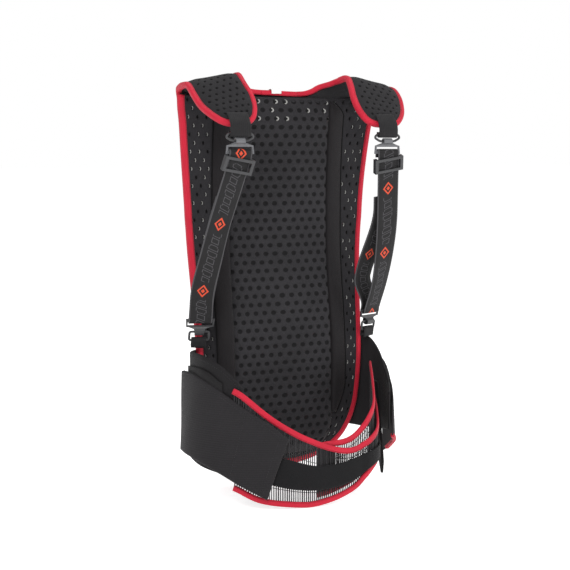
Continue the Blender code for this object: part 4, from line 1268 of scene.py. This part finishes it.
def build_belt():
    # left half: kidney wing, the elastic over it and the tension wing outside both
    left = left_plan()
    top = soften([(0, -172), (0.2, -170), (0.35, -167.5), (0.5, -166), (0.6, -167), (0.7, -171), (0.8, -178.5),
                  (0.9, -192.5), (1, -212)], 0.03)
    low = [(0, -288), (0.4, -299), (0.75, -308), (1, -324)]
    grid = belt_grid(left, 1, 0, 0.96, top, low, 0.2, 3.3, 70, 30, flare=4,
                     start=lambda v: 0.06 - 0.055 * v ** 3, wobble=0.4)
    kidney_wing("left", grid)
    belt_seam("kidney_seam_left", "belt_left", grid, [(1, j) for j in range(12, 71)])
    top = soften([(0.26, -186.5), (0.4, -183.2), (0.6, -182.2), (0.7, -186.7), (0.8, -198)], 0.03)
    low = [(0, -280), (0.4, -292), (0.75, -303), (1, -318)]
    grid = belt_grid(left, 1, 0.26, 0.8, top, low, 4.3, 5.7, 40, 16, flare=4)
    attach(grid_shell("middle_elastic_cloth", grid, "middle"), "belt_left", "ladder_mesh", "middle_elastic_left")

    # right half
    right = smooth_path(RIGHT_WING, 121)
    top = soften([(0, -159.6), (0.1, -161), (0.2, -164), (0.3, -171), (0.4, -185), (0.5, -203), (0.7, -222),
                  (1, -230)], 0.04)
    low = [(0, -288.5), (0.2, -291.4), (0.5, -289.4), (0.8, -283), (1, -278)]
    grid = belt_grid(right, -1, 0, 1, top, low, 0.2, 3.3, 50, 30, start=lambda v: 0.11 - 0.1 * v ** 3, wobble=0.3)
    kidney_wing("right", grid)
    top = soften([(0.4, -194), (0.5, -206), (0.6, -222), (0.75, -234), (1, -242)], 0.03)
    low = soften([(0.4, -324), (0.5, -314), (0.6, -306), (0.7, -299), (0.85, -292), (1, -286)], 0.03)
    grid = belt_grid(right, -1, 0.4, 0.97, top, low, 5.3, 7.7, 40, 24, lean=(0.0, 4.0), wobble=0.3)
    patch = belt_grid(right, -1, 0.74, 0.93, [(0, -246), (1, -248)], [(0, -276), (1, -272)], 4.1, 4.8, 10, 6)
    tension_wing("right", grid, patch)
    belt_seam("tension_seam_right", "tension_wing_right", grid, [(i, 37) for i in range(0, 25)])
    near, far = (side[-1][4:41] for side in grid[:2])
    row = [(a + b) / 2 for a, b in zip(near, far)]
    out = [(a - b).normalized() for a, b in zip(near, far)]
    tape = binding("tension_edge_right", row, out, wide=0.7, thick=0.46)[0]
    attach(tape, "tension_wing_right", "red_tape")

    tension = smooth_path(LEFT_TENSION, 161)
    top = soften([(0, -196), (0.2, -190), (0.3, -191), (0.4, -195), (0.5, -202), (0.6, -212.5), (0.7, -225),
                  (0.8, -237), (0.9, -248), (1, -266)], 0.03)
    low = soften([(0, -294), (0.2, -290), (0.3, -291), (0.4, -294.5), (0.5, -300.6), (0.6, -309), (0.7, -320),
                  (0.8, -330), (0.9, -341.6), (1, -353)], 0.03)
    grid = belt_grid(tension, 1, 0, 1, top, low, 0.1, 2.4, 90, 36, slant=-0.135, wobble=0.5, lean=(-5.5, 4.0))
    patch = belt_grid(tension, 1, 0.68, 0.79, [(0.68, -260), (0.79, -268)], [(0.68, -304), (0.79, -318)], -2.2, -0.9,
                      16, 12, lean=(-1.6, 1.0))
    tension_wing("left", grid, patch)
    for tag, col in (("end", 86), ("patch", 66)):
        belt_seam("tension_seam_" + tag, "tension_wing_left", grid, [(i, col) for i in range(1, 36)])
    belt_seam("tension_seam_top", "tension_wing_left", grid, [(2, j) for j in range(1, 90)])

    # front: both ladder meshes with their tapes, and the closure
    front = front_plan()
    front_mesh("outer", "belt_left", front, soften(OUTER_TOP), soften(OUTER_LOW), 0.0, 5.6, 6.9)
    front_mesh("inner", "belt_right", front, soften(INNER_TOP), soften(INNER_LOW), 0.36, 0.4, 1.7)
    grid = belt_grid(front, 1, 0.125, 0.83, soften(STRIP_TOP), soften(STRIP_LOW), 8.6, 9.8, 90, 14, by_x=True)
    attach(grid_shell("landing_strip_pile", grid, "pile"), "belt_left", "loop_pile", "landing_strip")
    grid = belt_grid(front, 1, 0.82, 0.97, [(80, -265), (115, -252)], [(80, -297), (115, -292)], 3.5, 4.5, 14, 8,
                     by_x=True)
    attach(grid_shell("closure_patch_pile", grid, "pile"), "belt_left", "loop_pile", "closure_patch")


# ---- stage -------------------------------------------------------------------------------------
CENTRE = Vector((0, -0.06, -0.09))  # metres; the lights and the camera look here


def build_stage():
    floor_z = CAD_BOX[0][2] - 0.001
    mesh = bpy.data.meshes.new("floor")
    size = 30.0
    mesh.from_pydata([(-size, -size, floor_z), (size, -size, floor_z), (size, size, floor_z), (-size, size, floor_z)],
                     [], [(0, 1, 2, 3)])
    floor = bpy.data.objects.new("floor", mesh)
    bpy.context.scene.collection.objects.link(floor)
    n = Nodes("floor_paper")
    n.put(Base_Color=(0.84, 0.84, 0.84), Roughness=0.95, Emission_Color=(1.0, 1.0, 1.0), Emission_Strength=0.64)
    mesh.materials.append(n.mat)

    # white to the camera, softer as a light
    world = bpy.data.worlds.new("studio")
    world.use_nodes = True
    tree = world.node_tree
    seen = tree.nodes["Background"]
    seen.inputs[0].default_value = (1, 1, 1, 1)
    seen.inputs[1].default_value = 1.0
    lamp = tree.nodes.new("ShaderNodeBackground")
    lamp.inputs[0].default_value = (1, 1, 1, 1)
    lamp.inputs[1].default_value = 0.45
    path = tree.nodes.new("ShaderNodeLightPath")
    choose = tree.nodes.new("ShaderNodeMixShader")
    tree.links.new(path.outputs["Is Camera Ray"], choose.inputs[0])
    tree.links.new(lamp.outputs[0], choose.inputs[1])
    tree.links.new(seen.outputs[0], choose.inputs[2])
    tree.links.new(choose.outputs[0], tree.nodes["World Output"].inputs[0])
    bpy.context.scene.world = world

    def area(name, place, size_m, power):
        data = bpy.data.lights.new(name, "AREA")
        data.energy = power
        data.size = size_m
        light = bpy.data.objects.new(name, data)
        light.location = place
        light.rotation_euler = (CENTRE - Vector(place)).to_track_quat("-Z", "Y").to_euler()
        bpy.context.scene.collection.objects.link(light)

    area("key", (-1.3, -1.9, 1.5), 1.3, 50)
    area("fill", (1.9, -1.4, 0.6), 1.6, 24)
    area("top", (0.2, 0.4, 2.2), 1.4, 22)
    bpy.context.scene.view_settings.view_transform = "Standard"


def build_camera():
    az, el, dist = math.radians(-26), math.radians(6), 1.7
    place = CENTRE + Vector((math.sin(az) * math.cos(el), -math.cos(az) * math.cos(el), math.sin(el))) * dist
    data = bpy.data.cameras.new("camera")
    data.lens = 82.0
    data.sensor_width = 36.0
    data.shift_x = -0.0105
    data.shift_y = 0.0035
    camera = bpy.data.objects.new("camera", data)
    camera.location = place
    camera.rotation_euler = (CENTRE - place).to_track_quat("-Z", "Y").to_euler()
    bpy.context.scene.collection.objects.link(camera)
    bpy.context.scene.camera = camera


for build in (build_liner, build_centre_pad, build_gussets, build_rear_cover, build_panel_tape, build_flaps,
              build_neck, build_braces, dress_hardware, build_belt, build_pull_tab, build_stage, build_camera):
    build()
